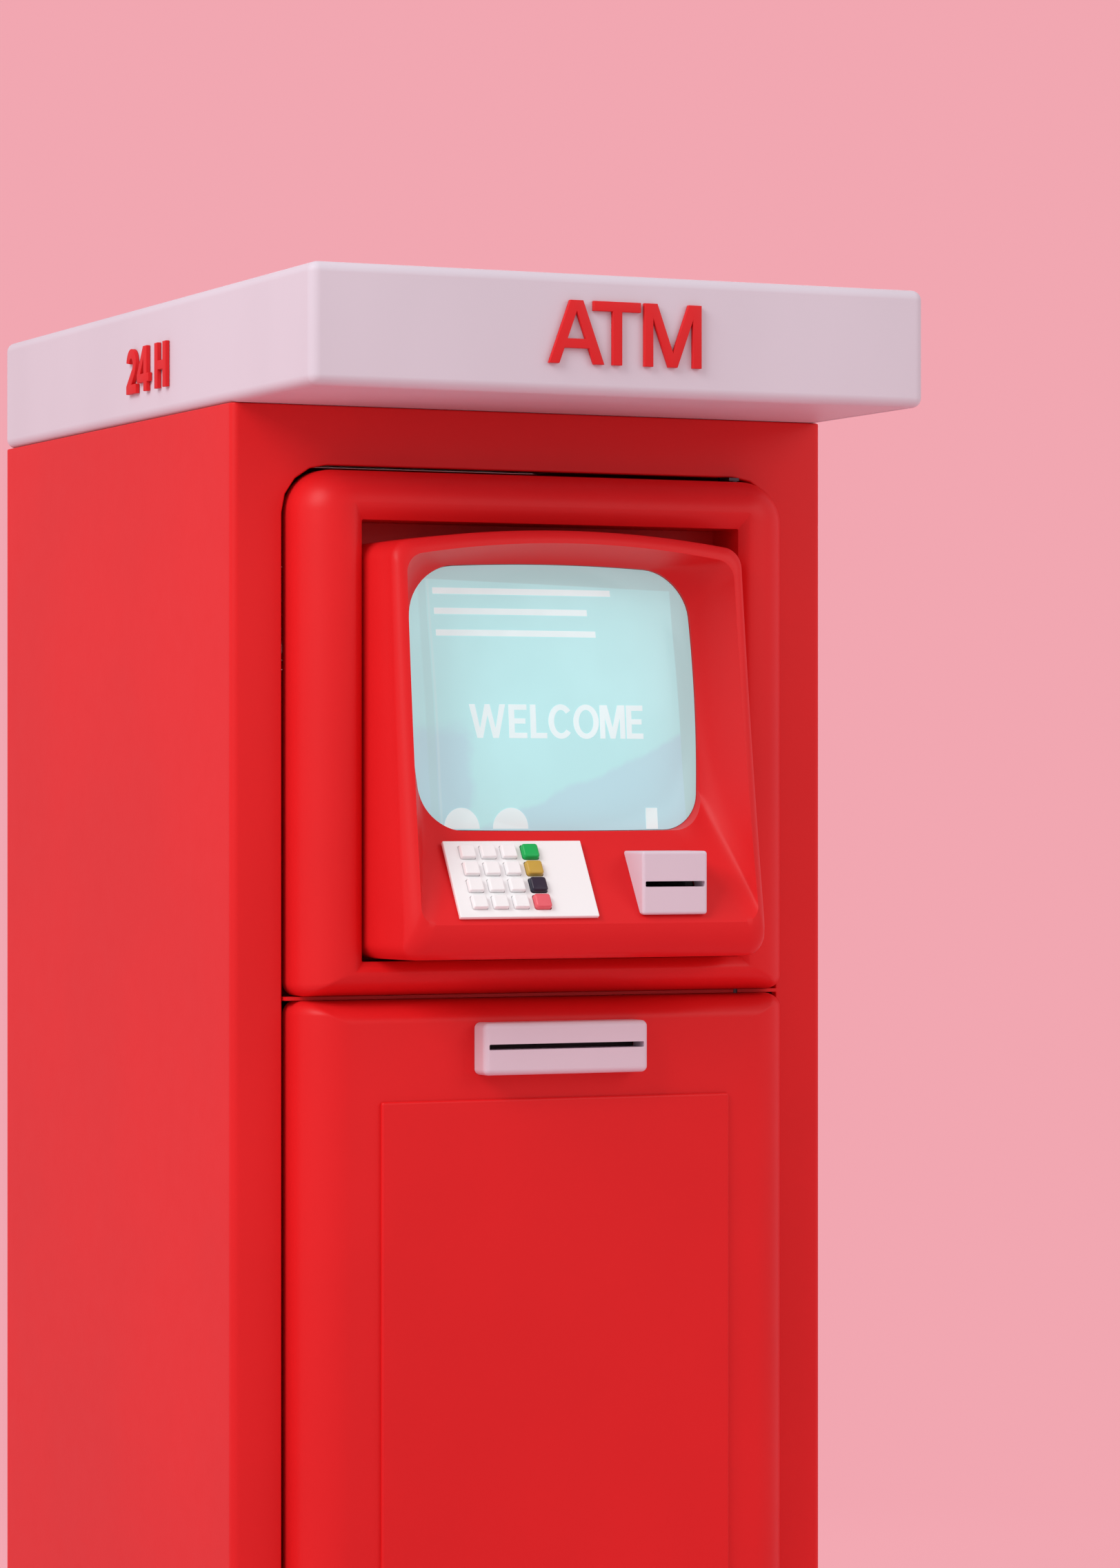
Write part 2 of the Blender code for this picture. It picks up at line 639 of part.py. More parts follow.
def hinge_lug(f, name, low, side):
    """Flat lug through the gap, with a foot on the inside of the cabinet front and its own pin."""
    y = at(HINGE_FACE)
    seat = at(-WALL - SEAT)
    left, right = HINGE_X - LUG_LEFT, HINGE_X + LUG_RIGHT
    lug = box(name, (left, at(HINGE_FACE + HINGE_EYE), low), (right, seat, low + LUG_THICK), f["steel"],
              origin=(HINGE_X, y, low))
    foot = low if side < 0 else low + LUG_THICK - LUG_FOOT_TALL
    carve(lug, block((left, seat, foot), (right, seat + LUG_FOOT_THICK, foot + LUG_FOOT_TALL)), "UNION")
    middle = low + LUG_THICK / 2 + side * PIN_LENGTH / 2
    carve(lug, rod(PIN_RADIUS, (HINGE_X, y, middle), (0, 0, 1), PIN_LENGTH), "UNION")


# ---------------------------------------------------------------- upper panel
def fillet_loops(half, bottom, top, low_radius, high_radius, side, low, high, inset=0.0, face=MODULE_FACE):
    """Loops up the side and over the pillowed edge of a panel; side, low and high are fillet widths."""
    loops = []
    start = face - MODULE_FILLET
    for k in range(FILLET_STEPS + 1):
        a = radians(90 * k / FILLET_STEPS)
        run = 1 - cos(a)
        s, lo, hi = side * run, low * run, high * run
        low_arc = max(low_radius - inset - min(s, lo), SMALLEST_RADIUS)
        high_arc = max(high_radius - inset - min(s, hi), SMALLEST_RADIUS)
        wide = half - inset - s
        shape = outline(wide, wide, bottom + inset + lo, top - inset - hi, low_arc, high_arc)
        loops.append(loop(shape, start + (MODULE_FILLET - inset) * sin(a)))
    return [loop([(p.x, p.z) for p in loops[0]], MODULE_BACK)] + loops


def surround_frame(f):
    sizes = (MODULE_HALF, PANEL_BOTTOM, PANEL_TOP, GROOVE_CORNER, MODULE_RADIUS, MODULE_FILLET,
             PANEL_LOW_FILLET, PANEL_TOP_FILLET)
    outer = fillet_loops(*sizes)
    inner = fillet_loops(*sizes, MODULE_WALL)
    w, b, t = WINDOW_HALF_WIDTH, WINDOW_BOTTOM, WINDOW_TOP
    sharp, lip = SHARP_RADIUS, FRAME_LIP
    wide = w + WINDOW_BEVEL
    rim = outline(wide, wide, b - WINDOW_BEVEL, t + WINDOW_BEVEL_TALL, sharp, sharp)
    mouth = outline(w, w, b, t, sharp, sharp)
    wall = outline(w + lip, w + lip, b - lip, t + lip, sharp, sharp)
    rows = outer + [loop(rim, MODULE_FACE), loop(mouth, WINDOW_EDGE), loop(mouth, MODULE_BACK)]
    rows += [loop(wall, MODULE_BACK), loop(wall, WINDOW_EDGE - FRAME_LIP_DEEP)] + inner[::-1]
    frame = add("surround_frame", skin(rows, True), f["red"], (HINGE_X, at(HINGE_FACE), 0))
    hole = PIN_RADIUS + SEAT
    for z in (PANEL_TOP, PANEL_BOTTOM):
        carve(frame, rod(hole, (HINGE_X, at(HINGE_FACE), z), (0, 0, 1), 4 * MODULE_WALL))


def hood_rows(inset, behind, flanged):
    """Loops from the back of the hood, over its rounded edge and down its dish to the glass."""
    shoulder = HOOD_SHOULDER - inset
    bottom = HOOD_BOTTOM + inset
    root = outline(HOOD_ROOT_HALF - inset, HOOD_ROOT_HALF - inset, bottom, shoulder,
                   HOOD_RADIUS, HOOD_RADIUS, HOOD_ARCH)
    side = outline(HOOD_HALF_LOW - inset, HOOD_HALF_TOP - inset, bottom, shoulder,
                   HOOD_RADIUS, HOOD_RADIUS, HOOD_ARCH)
    rim = outline(HOOD_HALF_LOW - HOOD_ROUND, HOOD_HALF_TOP - HOOD_ROUND, CREASE_Z,
                  HOOD_SHOULDER - HOOD_ROUND, HOOD_RADIUS, HOOD_RADIUS, HOOD_ARCH)
    glass = glass_outline(0.0)
    rows = [loop(root, -HOOD_BACK)]
    if flanged:
        reach = WINDOW_HALF_WIDTH + FLANGE_REACH
        flange = outline(reach, reach, WINDOW_BOTTOM - FLANGE_REACH, WINDOW_TOP + FLANGE_REACH,
                         HOOD_RADIUS, HOOD_RADIUS)
        seat = MODULE_BACK - SEAT
        rear = seat - FLANGE_THICK
        rows += [loop(root, rear), loop(flange, rear), loop(flange, seat), loop(root, seat)]
    rows.append(loop(root, WINDOW_EDGE - HOOD_ROOT_SET))
    for k in range(ROUND_STEPS + 1):
        rows.append(rounded_row(side, rim, radians(90 * k / ROUND_STEPS), behind))
    for k in range(1, DISH_STEPS + 1):
        rows.append(dish_row(rim, glass, k / DISH_STEPS, behind))
    return rows, glass


def share(value):
    """Hold a value between 0 and 1."""
    return max(0, min(1, value))


def rounded_row(side, rim, a, behind):
    """One loop over the hood's rounded edge, deeper along its bottom lip."""
    row = []
    blend = 1 - cos(a)
    for (sx, sz), (rx, rz) in zip(side, rim):
        face = rim_face(max(rz, CREASE_Z)) - behind
        lip = HOOD_ROUND + LIP_DEEPER * share((CREASE_Z + LIP_BLEND - rz) / LIP_BLEND)
        x = sx + (rx - sx) * blend
        z = sz + (rz - sz) * blend
        row.append(Vector((x, at(face - lip * (1 - sin(a))), z)))
    return row


def dish_row(rim, glass, v, behind):
    """One loop down the dish: a curve beside and above the glass, a flat slope below it."""
    row = []
    for (rx, rz), (gx, gz) in zip(rim, glass):
        flat = share((GLASS_BOTTOM + DISH_BLEND_TOP - gz) / DISH_BLEND)
        edge = (glass_face(gz) + DISH_EDGE_UP) * (1 - flat) + shelf_face(gz) * flat
        power = DISH_POWER * (1 - flat) + flat
        face = edge + (rim_face(rz) - edge) * (1 - v) ** power
        row.append(Vector((rx + (gx - rx) * v, at(face - behind), rz + (gz - rz) * v)))
    return row


def glass_outline(gap):
    """Outline of the bowed screen glass, or of a piece that stands a gap inside it."""
    wide = GLASS_HALF_WIDTH - gap
    return outline(wide, wide, GLASS_BOTTOM + gap, GLASS_TOP - gap, GLASS_RADIUS, GLASS_RADIUS, 0, GLASS_BOW)


def hood(f):
    outer, glass = hood_rows(0.0, 0.0, True)
    inner, _ = hood_rows(HOOD_WALL, HOOD_DEPTH_SKIN, False)
    inner[-1] = loop(glass, lambda z: glass_face(z) - GLASS_SETBACK)
    shell = add("hood_shell", skin(outer + inner[::-1], True), f["red"], (HINGE_X, at(HINGE_FACE), 0))
    half = KEY_PITCH_X * (KEY_COLUMNS - 1) / 2 + KEY_WIDTH
    tall = PLATE_LENGTH / 2 - PLATE_MARGIN
    left, right = keys_middle() - half, keys_middle() + half
    carve(shell, tilted(block((left, -tall, -2 * KEY_BASE_DEEP), (right, tall, KEY_BASE_DEEP))))
    base_top = PLATE_THICK + KEY_TAIL + KEY_TRAVEL + FIT
    base = block((left + FIT, -tall + FIT, -base_top - KEY_BASE_DEEP), (right - FIT, tall - FIT, -base_top))
    add("keypad_base", tilted(base), f["dark"])
    way = CARD_SLOT_HALF + CARD_WAY_SIDE
    deep = shelf_face(CARD_SLOT_Z) - 2 * OVERCUT - HOOD_DEPTH_SKIN
    front = at(READER_FACE + 2 * OVERCUT)
    low, high = CARD_SLOT_Z - CARD_WAY_HALF_HIGH, CARD_SLOT_Z + CARD_WAY_HALF_HIGH
    carve(shell, block((READER_CENTRE_X - way, front, low), (READER_CENTRE_X + way, at(deep), high)))
    hood_back(f)


def hood_back(f):
    """Black housing behind the hood that tapers round the picture tube."""
    seat = -HOOD_BACK - SEAT
    wall = HOOD_WALL
    wide = HOOD_ROOT_HALF - HOOD_REAR_INSET
    rear = outline(wide, wide, HOOD_BOTTOM + HOOD_REAR_RISE, HOOD_SHOULDER - HOOD_REAR_DROP,
                   HOOD_REAR_RADIUS, HOOD_REAR_RADIUS, HOOD_ARCH)
    root = outline(HOOD_ROOT_HALF, HOOD_ROOT_HALF, HOOD_BOTTOM, HOOD_SHOULDER,
                   HOOD_RADIUS, HOOD_RADIUS, HOOD_ARCH)
    thin = HOOD_ROOT_HALF - wall
    root_in = outline(thin, thin, HOOD_BOTTOM + wall, HOOD_SHOULDER - wall,
                      HOOD_RADIUS, HOOD_RADIUS, HOOD_ARCH)
    middle = (HOOD_BOTTOM + HOOD_SHOULDER) / 2 + HOOD_REAR_MIDDLE
    rear_in = [(x * HOOD_REAR_THIN, middle + (z - middle) * HOOD_REAR_THIN) for x, z in rear]
    taper = seat - HOOD_TAPER_START
    rows = [loop(rear, -HOOD_DEPTH), loop(root, taper), loop(root, seat), loop(root_in, seat),
            loop(root_in, taper + HOOD_TAPER_LAP), loop(rear_in, -HOOD_DEPTH + wall)]
    add("hood_back", skin(rows, False), f["dark"], (HINGE_X, at(HINGE_FACE), 0))


def screen(f):
    """The crowned glass, and the picture tube that tapers to its neck behind it."""
    points = glass_outline(FIT)
    middle = (GLASS_BOTTOM + GLASS_TOP) / 2

    def shrunk(scale):
        return [(x * scale, middle + (z - middle) * scale) for x, z in points]

    rows = [loop(points, lambda z: glass_face(z) - GLASS_THICK)]
    for k in range(CROWN_STEPS):
        scale = 1 - k / CROWN_STEPS
        crown = GLASS_CROWN * (1 - scale * scale)
        rows.append(loop(shrunk(scale), lambda z: glass_face(z) + crown))
    add("screen_glass", skin(rows, False), f["glass"], (HINGE_X, at(HINGE_FACE), 0))
    seat = GLASS_THICK + SEAT
    rows = [loop(shrunk(scale), lambda z: glass_face(z) - seat - deep) for scale, deep in TUBE_STAGES]
    neck = [Vector((p.x, at(-HOOD_DEPTH + HOOD_WALL + TUBE_END_GAP), p.z)) for p in rows[-1]]
    add("picture_tube", skin(rows + [neck], False), f["dark"], (HINGE_X, at(HINGE_FACE), 0))


def keys_middle():
    """Middle of the key block, across the plate from its centre."""
    return -PLATE_WIDTH / 2 + KEYS_LEFT + KEY_PITCH_X * (KEY_COLUMNS - 1) / 2


def keypad(f):
    across, along = PLATE_WIDTH / 2, PLATE_LENGTH / 2
    plate = soften(block((-across, -along, -PLATE_THICK), (across, along, 0)), PLATE_EDGE, 1)
    plate = add("keypad_plate", tilted(plate), f["white"])
    holes = bmesh.new()
    colours = ["green", "yellow", "navy", "rose"]
    for row in range(KEY_ROWS):
        for column in range(KEY_COLUMNS):
            command = column == KEY_COLUMNS - 1
            grow = COMMAND_KEY_EXTRA / 2 if command else 0
            x = -PLATE_WIDTH / 2 + KEYS_LEFT + KEY_PITCH_X * column + grow
            y = KEY_PITCH_Y * ((KEY_ROWS - 1) / 2 - row) + KEY_BLOCK_UP
            w = KEY_WIDTH / 2 + grow
            h = KEY_LENGTH / 2 + grow
            hole = block((x - w - FIT, y - h - FIT, -OVERCUT), (x + w + FIT, y + h + FIT, OVERCUT))
            part = bpy.data.meshes.new("hole")
            hole.to_mesh(part)
            hole.free()
            holes.from_mesh(part)
            key = block((x - w, y - h, -PLATE_THICK - KEY_TAIL), (x + w, y + h, KEY_HEIGHT + grow))
            soften(key, KEY_EDGE + grow, 2, lambda e: max(v.co.z for v in e.verts) > 0)
            middle = slope() @ Vector((x, y, 0))
            finish = f[colours[row]] if command else f["white"]
            add(f"key_{row + 1}_{column + 1}", tilted(key), finish, middle)
    carve(plate, tilted(holes))


def card_reader(f):
    x0, x1 = READER_CENTRE_X - READER_HALF_WIDTH, READER_CENTRE_X + READER_HALF_WIDTH
    bm = bmesh.new()
    proud = SEAT / cos(SHELF_TILT)
    side = [(READER_FACE, READER_BOTTOM), (READER_FACE, READER_TOP),
            (shelf_face(READER_TOP) + proud, READER_TOP), (shelf_face(READER_BOTTOM) + proud, READER_BOTTOM)]
    ends = [[bm.verts.new((x, at(p), z)) for p, z in side] for x in (x0, x1)]
    bm.faces.new(ends[0])
    bm.faces.new(ends[1][::-1])
    for i in range(len(side)):
        j = (i + 1) % len(side)
        bm.faces.new((ends[0][i], ends[0][j], ends[1][j], ends[1][i]))
    soften(bm, READER_EDGE, 2, lambda e: all(abs(v.co.y - at(READER_FACE)) < SAME for v in e.verts))
    bezel = add("card_reader_bezel", bm, f["pale"])
    left, right = READER_CENTRE_X - CARD_SLOT_HALF, READER_CENTRE_X + CARD_SLOT_HALF
    low, high = CARD_SLOT_Z - CARD_SLOT_HIGH / 2, CARD_SLOT_Z + CARD_SLOT_HIGH / 2
    carve(bezel, block((left, at(READER_FACE + OVERCUT), low),
                       (right, at(shelf_face(READER_TOP) - OVERCUT), high)))
    card_reader_body(f, left, right, low, high)


def card_reader_body(f, left, right, low, high):
    """Reader behind the hood's slope, with a blind card way and a driven roller under it."""
    top = CARD_SLOT_Z + READER_BODY_UP
    face = shelf_face(top) - HOOD_DEPTH_SKIN - SEAT
    body = box("card_reader_body", (left - READER_BODY_SIDE, at(face), CARD_SLOT_Z - READER_BODY_DOWN),
               (right + READER_BODY_SIDE, at(READER_BODY_TAIL), top), f["grey"])
    end = at(READER_BODY_TAIL + READER_BACK_WALL)
    carve(body, block((left, at(face + OVERCUT), low), (right, end, high)))
    radius = CARD_ROLLER_RADIUS
    centre = (READER_CENTRE_X, at(CARD_ROLLER_FACE), low - radius + CARD_ROLLER_REACH)
    room = radius + ROLLER_ROOM
    half = CARD_ROLLER_WIDTH / 2
    carve(body, block((centre[0] - half, centre[1] - room, centre[2] - room),
                      (centre[0] + half, centre[1] + room, CARD_SLOT_Z)))
    roller = rod(radius, centre, (1, 0, 0), CARD_ROLLER_WIDTH - 2 * SEAT, 20)
    add("card_roller", roller, f["rubber"], centre)


# ---------------------------------------------------------------- lower door
def lower_door(f):
    origin = (HINGE_X, at(HINGE_FACE), 0)
    sizes = (MODULE_HALF, DOOR_BOTTOM, DOOR_TOP, CUT_LOW_RADIUS - EDGE_GAP, GROOVE_CORNER, MODULE_FILLET,
             MODULE_FILLET, DOOR_TOP_FILLET)
    outer = fillet_loops(*sizes)
    inner = fillet_loops(*sizes, MODULE_WALL)
    door = add("door_skin", skin(outer[::-1] + inner, False), f["red"], origin)
    for z in (DOOR_TOP, DOOR_BOTTOM):
        carve(door, rod(PIN_RADIUS + SEAT, (HINGE_X, at(HINGE_FACE), z), (0, 0, 1), 4 * MODULE_WALL))
    reach = CASH_SLOT_HALF + DOOR_MOUTH_SIDE
    carve(door, block((-reach, at(MODULE_FACE + OVERCUT), CASH_SLOT_Z - DOOR_MOUTH_HALF),
                      (reach, at(MODULE_FACE - MODULE_WALL - OVERCUT), CASH_SLOT_Z + DOOR_MOUTH_HALF)))
    head_hole(door)
    trim_and_bezel(f)
    shutter_and_slab(f, origin)
    door_lock(f, MODULE_FACE + SEAT)


def head_hole(obj):
    """Round hole for the key head of the lock."""
    carve(obj, rod(LOCK_RADIUS + SEAT, (LOCK_X, at(MODULE_FACE), LOCK_Z), (0, 1, 0), 4 * OVERCUT))


def trim_and_bezel(f):
    """Raised panel and note slot surround, both seated on the door's face."""
    face = MODULE_FACE + SEAT
    out = at(face + TRIM_THICK)
    trim = block((-TRIM_HALF_WIDTH, out, TRIM_BOTTOM), (TRIM_HALF_WIDTH, at(face), TRIM_TOP))
    soften(trim, TRIM_EDGE, 2, lambda e: all(v.co.y < out + SAME for v in e.verts))
    head_hole(add("door_panel", trim, f["red"]))
    out = at(face + CASH_DEEP)
    bezel = block((-CASH_HALF_WIDTH, out, CASH_BOTTOM), (CASH_HALF_WIDTH, at(face), CASH_TOP))
    soften(bezel, CASH_RADIUS, 3, lambda e: any(v.co.y < at(face) - SAME for v in e.verts))
    bezel = add("cash_slot_bezel", bezel, f["pale"])
    high = CASH_SLOT_HIGH / 2
    carve(bezel, block((-CASH_SLOT_HALF, out - OVERCUT, CASH_SLOT_Z - high),
                       (CASH_SLOT_HALF, at(MODULE_FACE - OVERCUT), CASH_SLOT_Z + high)))


def shutter_and_slab(f, origin):
    """Sliding shutter behind the note slot, and the steel slab that closes the door's back."""
    face = MODULE_FACE - MODULE_WALL - SEAT
    half = CASH_SLOT_HALF + SHUTTER_LAP
    tall = SHUTTER_HALF_HIGH
    box("cash_shutter", (-half, at(face), CASH_SLOT_Z - tall),
        (half, at(face - SHUTTER_THICK), CASH_SLOT_Z + tall), f["dark"], origin=(0, at(face), CASH_SLOT_Z))
    front = MODULE_BACK - SEAT
    back = front - SLAB_THICK
    slab = box("door_slab", (-SLAB_HALF_WIDTH, at(front), DOOR_BOTTOM + FIT),
               (SLAB_HALF_WIDTH, at(back), DOOR_TOP - FIT), f["steel"], origin=origin)
    carve(slab, block((-half, at(front + OVERCUT), CASH_SLOT_Z - tall),
                      (half, at(back - OVERCUT), CASH_SLOT_Z + tall)))
    carve(slab, rod(LOCK_ROD + SEAT, (LOCK_X, at(front), LOCK_Z), (0, 1, 0), 4 * SLAB_THICK))


def door_lock(f, face):
    """Round key head in the raised panel, on a rod that turns a cam behind the safe's flange."""
    head = face + TRIM_THICK + LOCK_PROUD
    tail = -SAFE_FRONT - SLAB_THICK - CAM_GAP - CAM_THICK
    centre = (LOCK_X, at(head), LOCK_Z)
    length = head - tail
    edge = HEAD_CHAMFER
    profile = [(0, 0), (LOCK_RADIUS - edge, 0), (LOCK_RADIUS, edge), (LOCK_RADIUS, LOCK_STEP),
               (LOCK_ROD, LOCK_STEP), (LOCK_ROD, length), (0, length)]
    lock = add("door_lock", turned(profile, centre, (0, 1, 0)), f["steel"], centre)
    carve(lock, block((LOCK_X - LOCK_ROD, at(tail + CAM_THICK), LOCK_Z - CAM_LENGTH),
                      (LOCK_X + LOCK_ROD, at(tail), LOCK_Z)), "UNION")
    wide, tall = KEYWAY_HALF_WIDTH, KEYWAY_HALF_TALL
    carve(lock, block((LOCK_X - wide, at(head + OVERCUT), LOCK_Z - tall),
                      (LOCK_X + wide, at(head - KEYWAY_DEEP), LOCK_Z + tall)))


# ---------------------------------------------------------------- safe and cash handling
def safe(f):
    """Open-fronted safe; returns the height of the rack inside it."""
    front = -SAFE_FRONT
    back = front - SAFE_DEPTH
    body = box("safe_body", (-SAFE_HALF_WIDTH, at(front), DECK),
               (SAFE_HALF_WIDTH, at(back), SAFE_TOP), f["grey"])
    inside = SAFE_HALF_WIDTH - SAFE_WALL
    ceiling = SAFE_TOP - SLAB_THICK
    flange = front - SLAB_THICK
    carve(body, block((-inside, at(flange), SAFE_FLOOR), (inside, at(back + SAFE_WALL), ceiling)))
    carve(body, block((-SAFE_MOUTH_HALF, at(front + OVERCUT), SAFE_FLOOR),
                      (SAFE_MOUTH_HALF, at(flange - OVERCUT), ceiling)))
    low = SAFE_FLOOR + SEAT
    pitch = BAY_HEIGHT + RACK_WALL
    top = low + BAY_COUNT * pitch + RACK_WALL
    rack = box("cassette_rack", (-RACK_HALF_WIDTH, at(-RACK_FRONT), low),
               (RACK_HALF_WIDTH, at(-RACK_FRONT - RACK_DEPTH), top), f["steel"])
    for k in range(BAY_COUNT):
        cassette_bay(f, rack, k + 1, low + RACK_WALL + k * pitch)
    return top


def cassette_bay(f, rack, number, low):
    """One bay of the rack with its cassette, which has a grip pocket in its nose."""
    bay = RACK_HALF_WIDTH - RACK_WALL
    back = -RACK_FRONT - RACK_DEPTH + RACK_WALL
    carve(rack, block((-bay, at(-RACK_FRONT + OVERCUT), low), (bay, at(back), low + BAY_HEIGHT)))
    nose = -RACK_FRONT + CASSETTE_END_GAP
    lo = (-bay + CASSETTE_RUN, at(nose), low + SEAT)
    hi = (bay - CASSETTE_RUN, at(back + CASSETTE_END_GAP), low + BAY_HEIGHT - CASSETTE_HEADROOM)
    cassette = box(f"cash_cassette_{number}", lo, hi, f["dark"], origin=(0, at(nose), low + SEAT))
    grip = low + GRIP_UP
    carve(cassette, block((-GRIP_HALF_WIDTH, at(nose + OVERCUT), grip - GRIP_HALF_HIGH),
                          (GRIP_HALF_WIDTH, at(nose - GRIP_DEEP), grip + GRIP_HALF_HIGH)))


def note_transport(f, rack_top):
    """Housing above the rack, with a driven roller and a pinch roller behind the cash slot."""
    front = -TRANSPORT_FRONT
    back = -TRANSPORT_BACK
    half = TRANSPORT_HALF
    wall = TRANSPORT_WALL
    top = SAFE_TOP - SLAB_THICK - SEAT
    low = rack_top + SEAT
    housing = box("note_transport", (-half, at(front), low), (half, at(back), top), f["grey"])
    throat = half - THROAT_SIDE
    inner = front - THROAT_DEEP
    carve(housing, block((-throat, at(front + OVERCUT), CASH_SLOT_Z - THROAT_HALF_HIGH),
                         (throat, at(inner), CASH_SLOT_Z + THROAT_HALF_HIGH)))
    carve(housing, block((-half + wall, at(inner - wall), low + wall),
                         (half - wall, at(back - OVERCUT), top - wall)))
    for name, side, finish in (("feed_roller", -1, "rubber"), ("pinch_roller", 1, "steel")):
        centre = (0, at(front - ROLLER_BACK), CASH_SLOT_Z + side * (ROLLER_RADIUS + SEAT))
        roller = rod(ROLLER_RADIUS, centre, (1, 0, 0), 2 * (throat - SEAT), 20)
        add(name, roller, f[finish], centre)


def electronics(f):
    top = SAFE_TOP + SEAT
    deck = top + SHELF_THICK + SEAT
    shelf = box("divider_shelf", (-INNER + FIT, at(-SHELF_FRONT), top),
                (INNER - FIT, BACK - SHELF_BACK_GAP, top + SHELF_THICK), f["steel"])
    carve(shelf, rod(CABLE_HOLE, (0, BACK - CABLE_HOLE_BACK, top), (0, 0, 1), 8 * SHELF_THICK))
    back = BACK - CASE_BACK_GAP
    circuit_case("controller_box", (-CASE_OUTER, back - CONTROLLER_LONG, deck),
                 (-CASE_INNER, back, deck + CONTROLLER_TALL), f["steel"])
    circuit_case("power_supply", (CASE_INNER, back - SUPPLY_LONG, deck),
                 (CASE_OUTER, back, deck + SUPPLY_TALL), f["grey"])


def circuit_case(name, lo, hi, finish):
    """Sheet case with a vent in its back face."""
    case = box(name, lo, hi, finish)
    carve(case, block([v + CASE_WALL for v in lo], [v - CASE_WALL for v in hi]))
    middle = (lo[0] + hi[0]) / 2
    carve(case, block((middle - CASE_VENT_HALF, hi[1] - 2 * OVERCUT, lo[2] + CASE_VENT_LOW),
                      (middle + CASE_VENT_HALF, hi[1] + 2 * OVERCUT, lo[2] + CASE_VENT_HIGH)))


def main():
    clear_scene()
    f = finishes()
    cabinet_shell(f)
    cabinet_base(f)
    rear_panel(f)
    canopy(f)
    hinge_parts(f)
    surround_frame(f)
    hood(f)
    screen(f)
    keypad(f)
    card_reader(f)
    lower_door(f)
    note_transport(f, safe(f))
    electronics(f)


main()
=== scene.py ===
"""Looks for the free-standing cash machine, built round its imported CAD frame."""

import json
from math import cos, pi, radians, sin, tan

import bmesh
import bpy
from mathutils import Matrix, Vector


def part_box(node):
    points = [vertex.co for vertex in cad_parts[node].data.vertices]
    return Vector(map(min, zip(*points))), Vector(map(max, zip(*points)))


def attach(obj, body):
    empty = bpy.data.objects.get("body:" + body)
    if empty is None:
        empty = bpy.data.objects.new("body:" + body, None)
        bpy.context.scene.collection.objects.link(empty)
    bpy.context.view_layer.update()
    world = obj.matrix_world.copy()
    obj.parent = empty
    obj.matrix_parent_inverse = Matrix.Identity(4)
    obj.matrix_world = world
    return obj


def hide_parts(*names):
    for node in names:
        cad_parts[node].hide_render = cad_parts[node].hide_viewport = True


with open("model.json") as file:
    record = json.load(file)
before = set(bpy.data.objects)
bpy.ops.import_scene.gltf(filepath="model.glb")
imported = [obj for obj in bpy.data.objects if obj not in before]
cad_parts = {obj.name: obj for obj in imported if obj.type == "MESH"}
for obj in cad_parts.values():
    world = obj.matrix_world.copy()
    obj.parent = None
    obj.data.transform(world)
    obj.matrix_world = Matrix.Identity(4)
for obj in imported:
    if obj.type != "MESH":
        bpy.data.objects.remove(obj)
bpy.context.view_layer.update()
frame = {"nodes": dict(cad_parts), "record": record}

# ---- places, taken from the frame
SHELL_LOW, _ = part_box("cabinet_shell")
CANOPY_LOW, CANOPY_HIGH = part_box("canopy_shell")
PANEL_LOW, PANEL_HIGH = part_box("surround_frame")
DOOR_LOW, DOOR_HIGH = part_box("door_skin")
TRIM_LOW, TRIM_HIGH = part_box("door_panel")
CASH_LOW, CASH_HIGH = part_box("cash_slot_bezel")
CARD_LOW, CARD_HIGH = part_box("card_reader_bezel")
LOCK_LOW, LOCK_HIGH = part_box("door_lock")
REAR_LOW, REAR_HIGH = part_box("rear_panel")
OPENINGS = {o["name"]: [Vector(c) for c in o["box_m"]] for o in frame["record"]["physics"]["openings"]}
FRONT = SHELL_LOW.y

# ---- sizes of the moulded shapes
SEAT = 0.0003
SLOT_EASE = 0.0005
SLOT_ROUND = 0.0012
PIN_HOLE = 0.0033
PIN_HOLE_REACH = 0.011
LOCK_HOLE = 0.0103
LOCK_REACH = 0.010
FACE = 0.053
FILLET = 0.045
WALL = 0.005
MODULE_BACK = -0.012
MODULE_HALF = PANEL_HIGH.x
MODULE_RADIUS = 0.042
GROOVE_CORNER = 0.014
TOP_FILLET = 0.033
LOW_FILLET = 0.0235
DOOR_TOP_FILLET = 0.022
DOOR_LOW_RADIUS = 0.015

WINDOW_HALF = 0.203
WINDOW_BOTTOM = 0.923
WINDOW_TOP = 1.350
WINDOW_BEVEL = 0.010
WINDOW_BEVEL_TALL = 0.016
WINDOW_EDGE = 0.045

HOOD_BACK = 0.020
HOOD_ROOT = 0.200
HOOD_TOP_HALF = 0.188
HOOD_LOW_HALF = 0.192
HOOD_BOTTOM = 0.926
HOOD_SHOULDER = 1.326
HOOD_ARCH = 0.016
HOOD_RADIUS = 0.016
HOOD_ROUND = 0.013
HOOD_WALL = 0.004
HOOD_SKIN = 0.006
FLANGE_REACH = 0.009
HOOD_STEPS = 72
DISH_ROWS = 26
DISH_ROUNDS = 120
DISH_INNER = 0.142
DISH_BLEND = 1.118
DISH_FADE = 0.055
DISH_CURVE = 1.9
SHELF_MEETS_GLASS = 0.020
LIP_EXTRA = 0.012
LIP_RUN = 0.030
RIM_LEAN = 0.062
RIM_EASE = 0.012
CREASE_Z = 0.960
TILT = radians(31.8)

GLASS_HALF = 0.148
GLASS_BOTTOM = 1.050
GLASS_TOP = 1.305
GLASS_LOW_RADIUS = 0.034
GLASS_RADIUS = 0.044
GLASS_BOW = 0.006
GLASS_SET = 0.003
GLASS_THICK = 0.006
GLASS_LOW_FACE = 0.060
GLASS_HIGH_FACE = 0.032
GLASS_CROWN = 0.012
CROWN_HALF_TALL = 0.1285

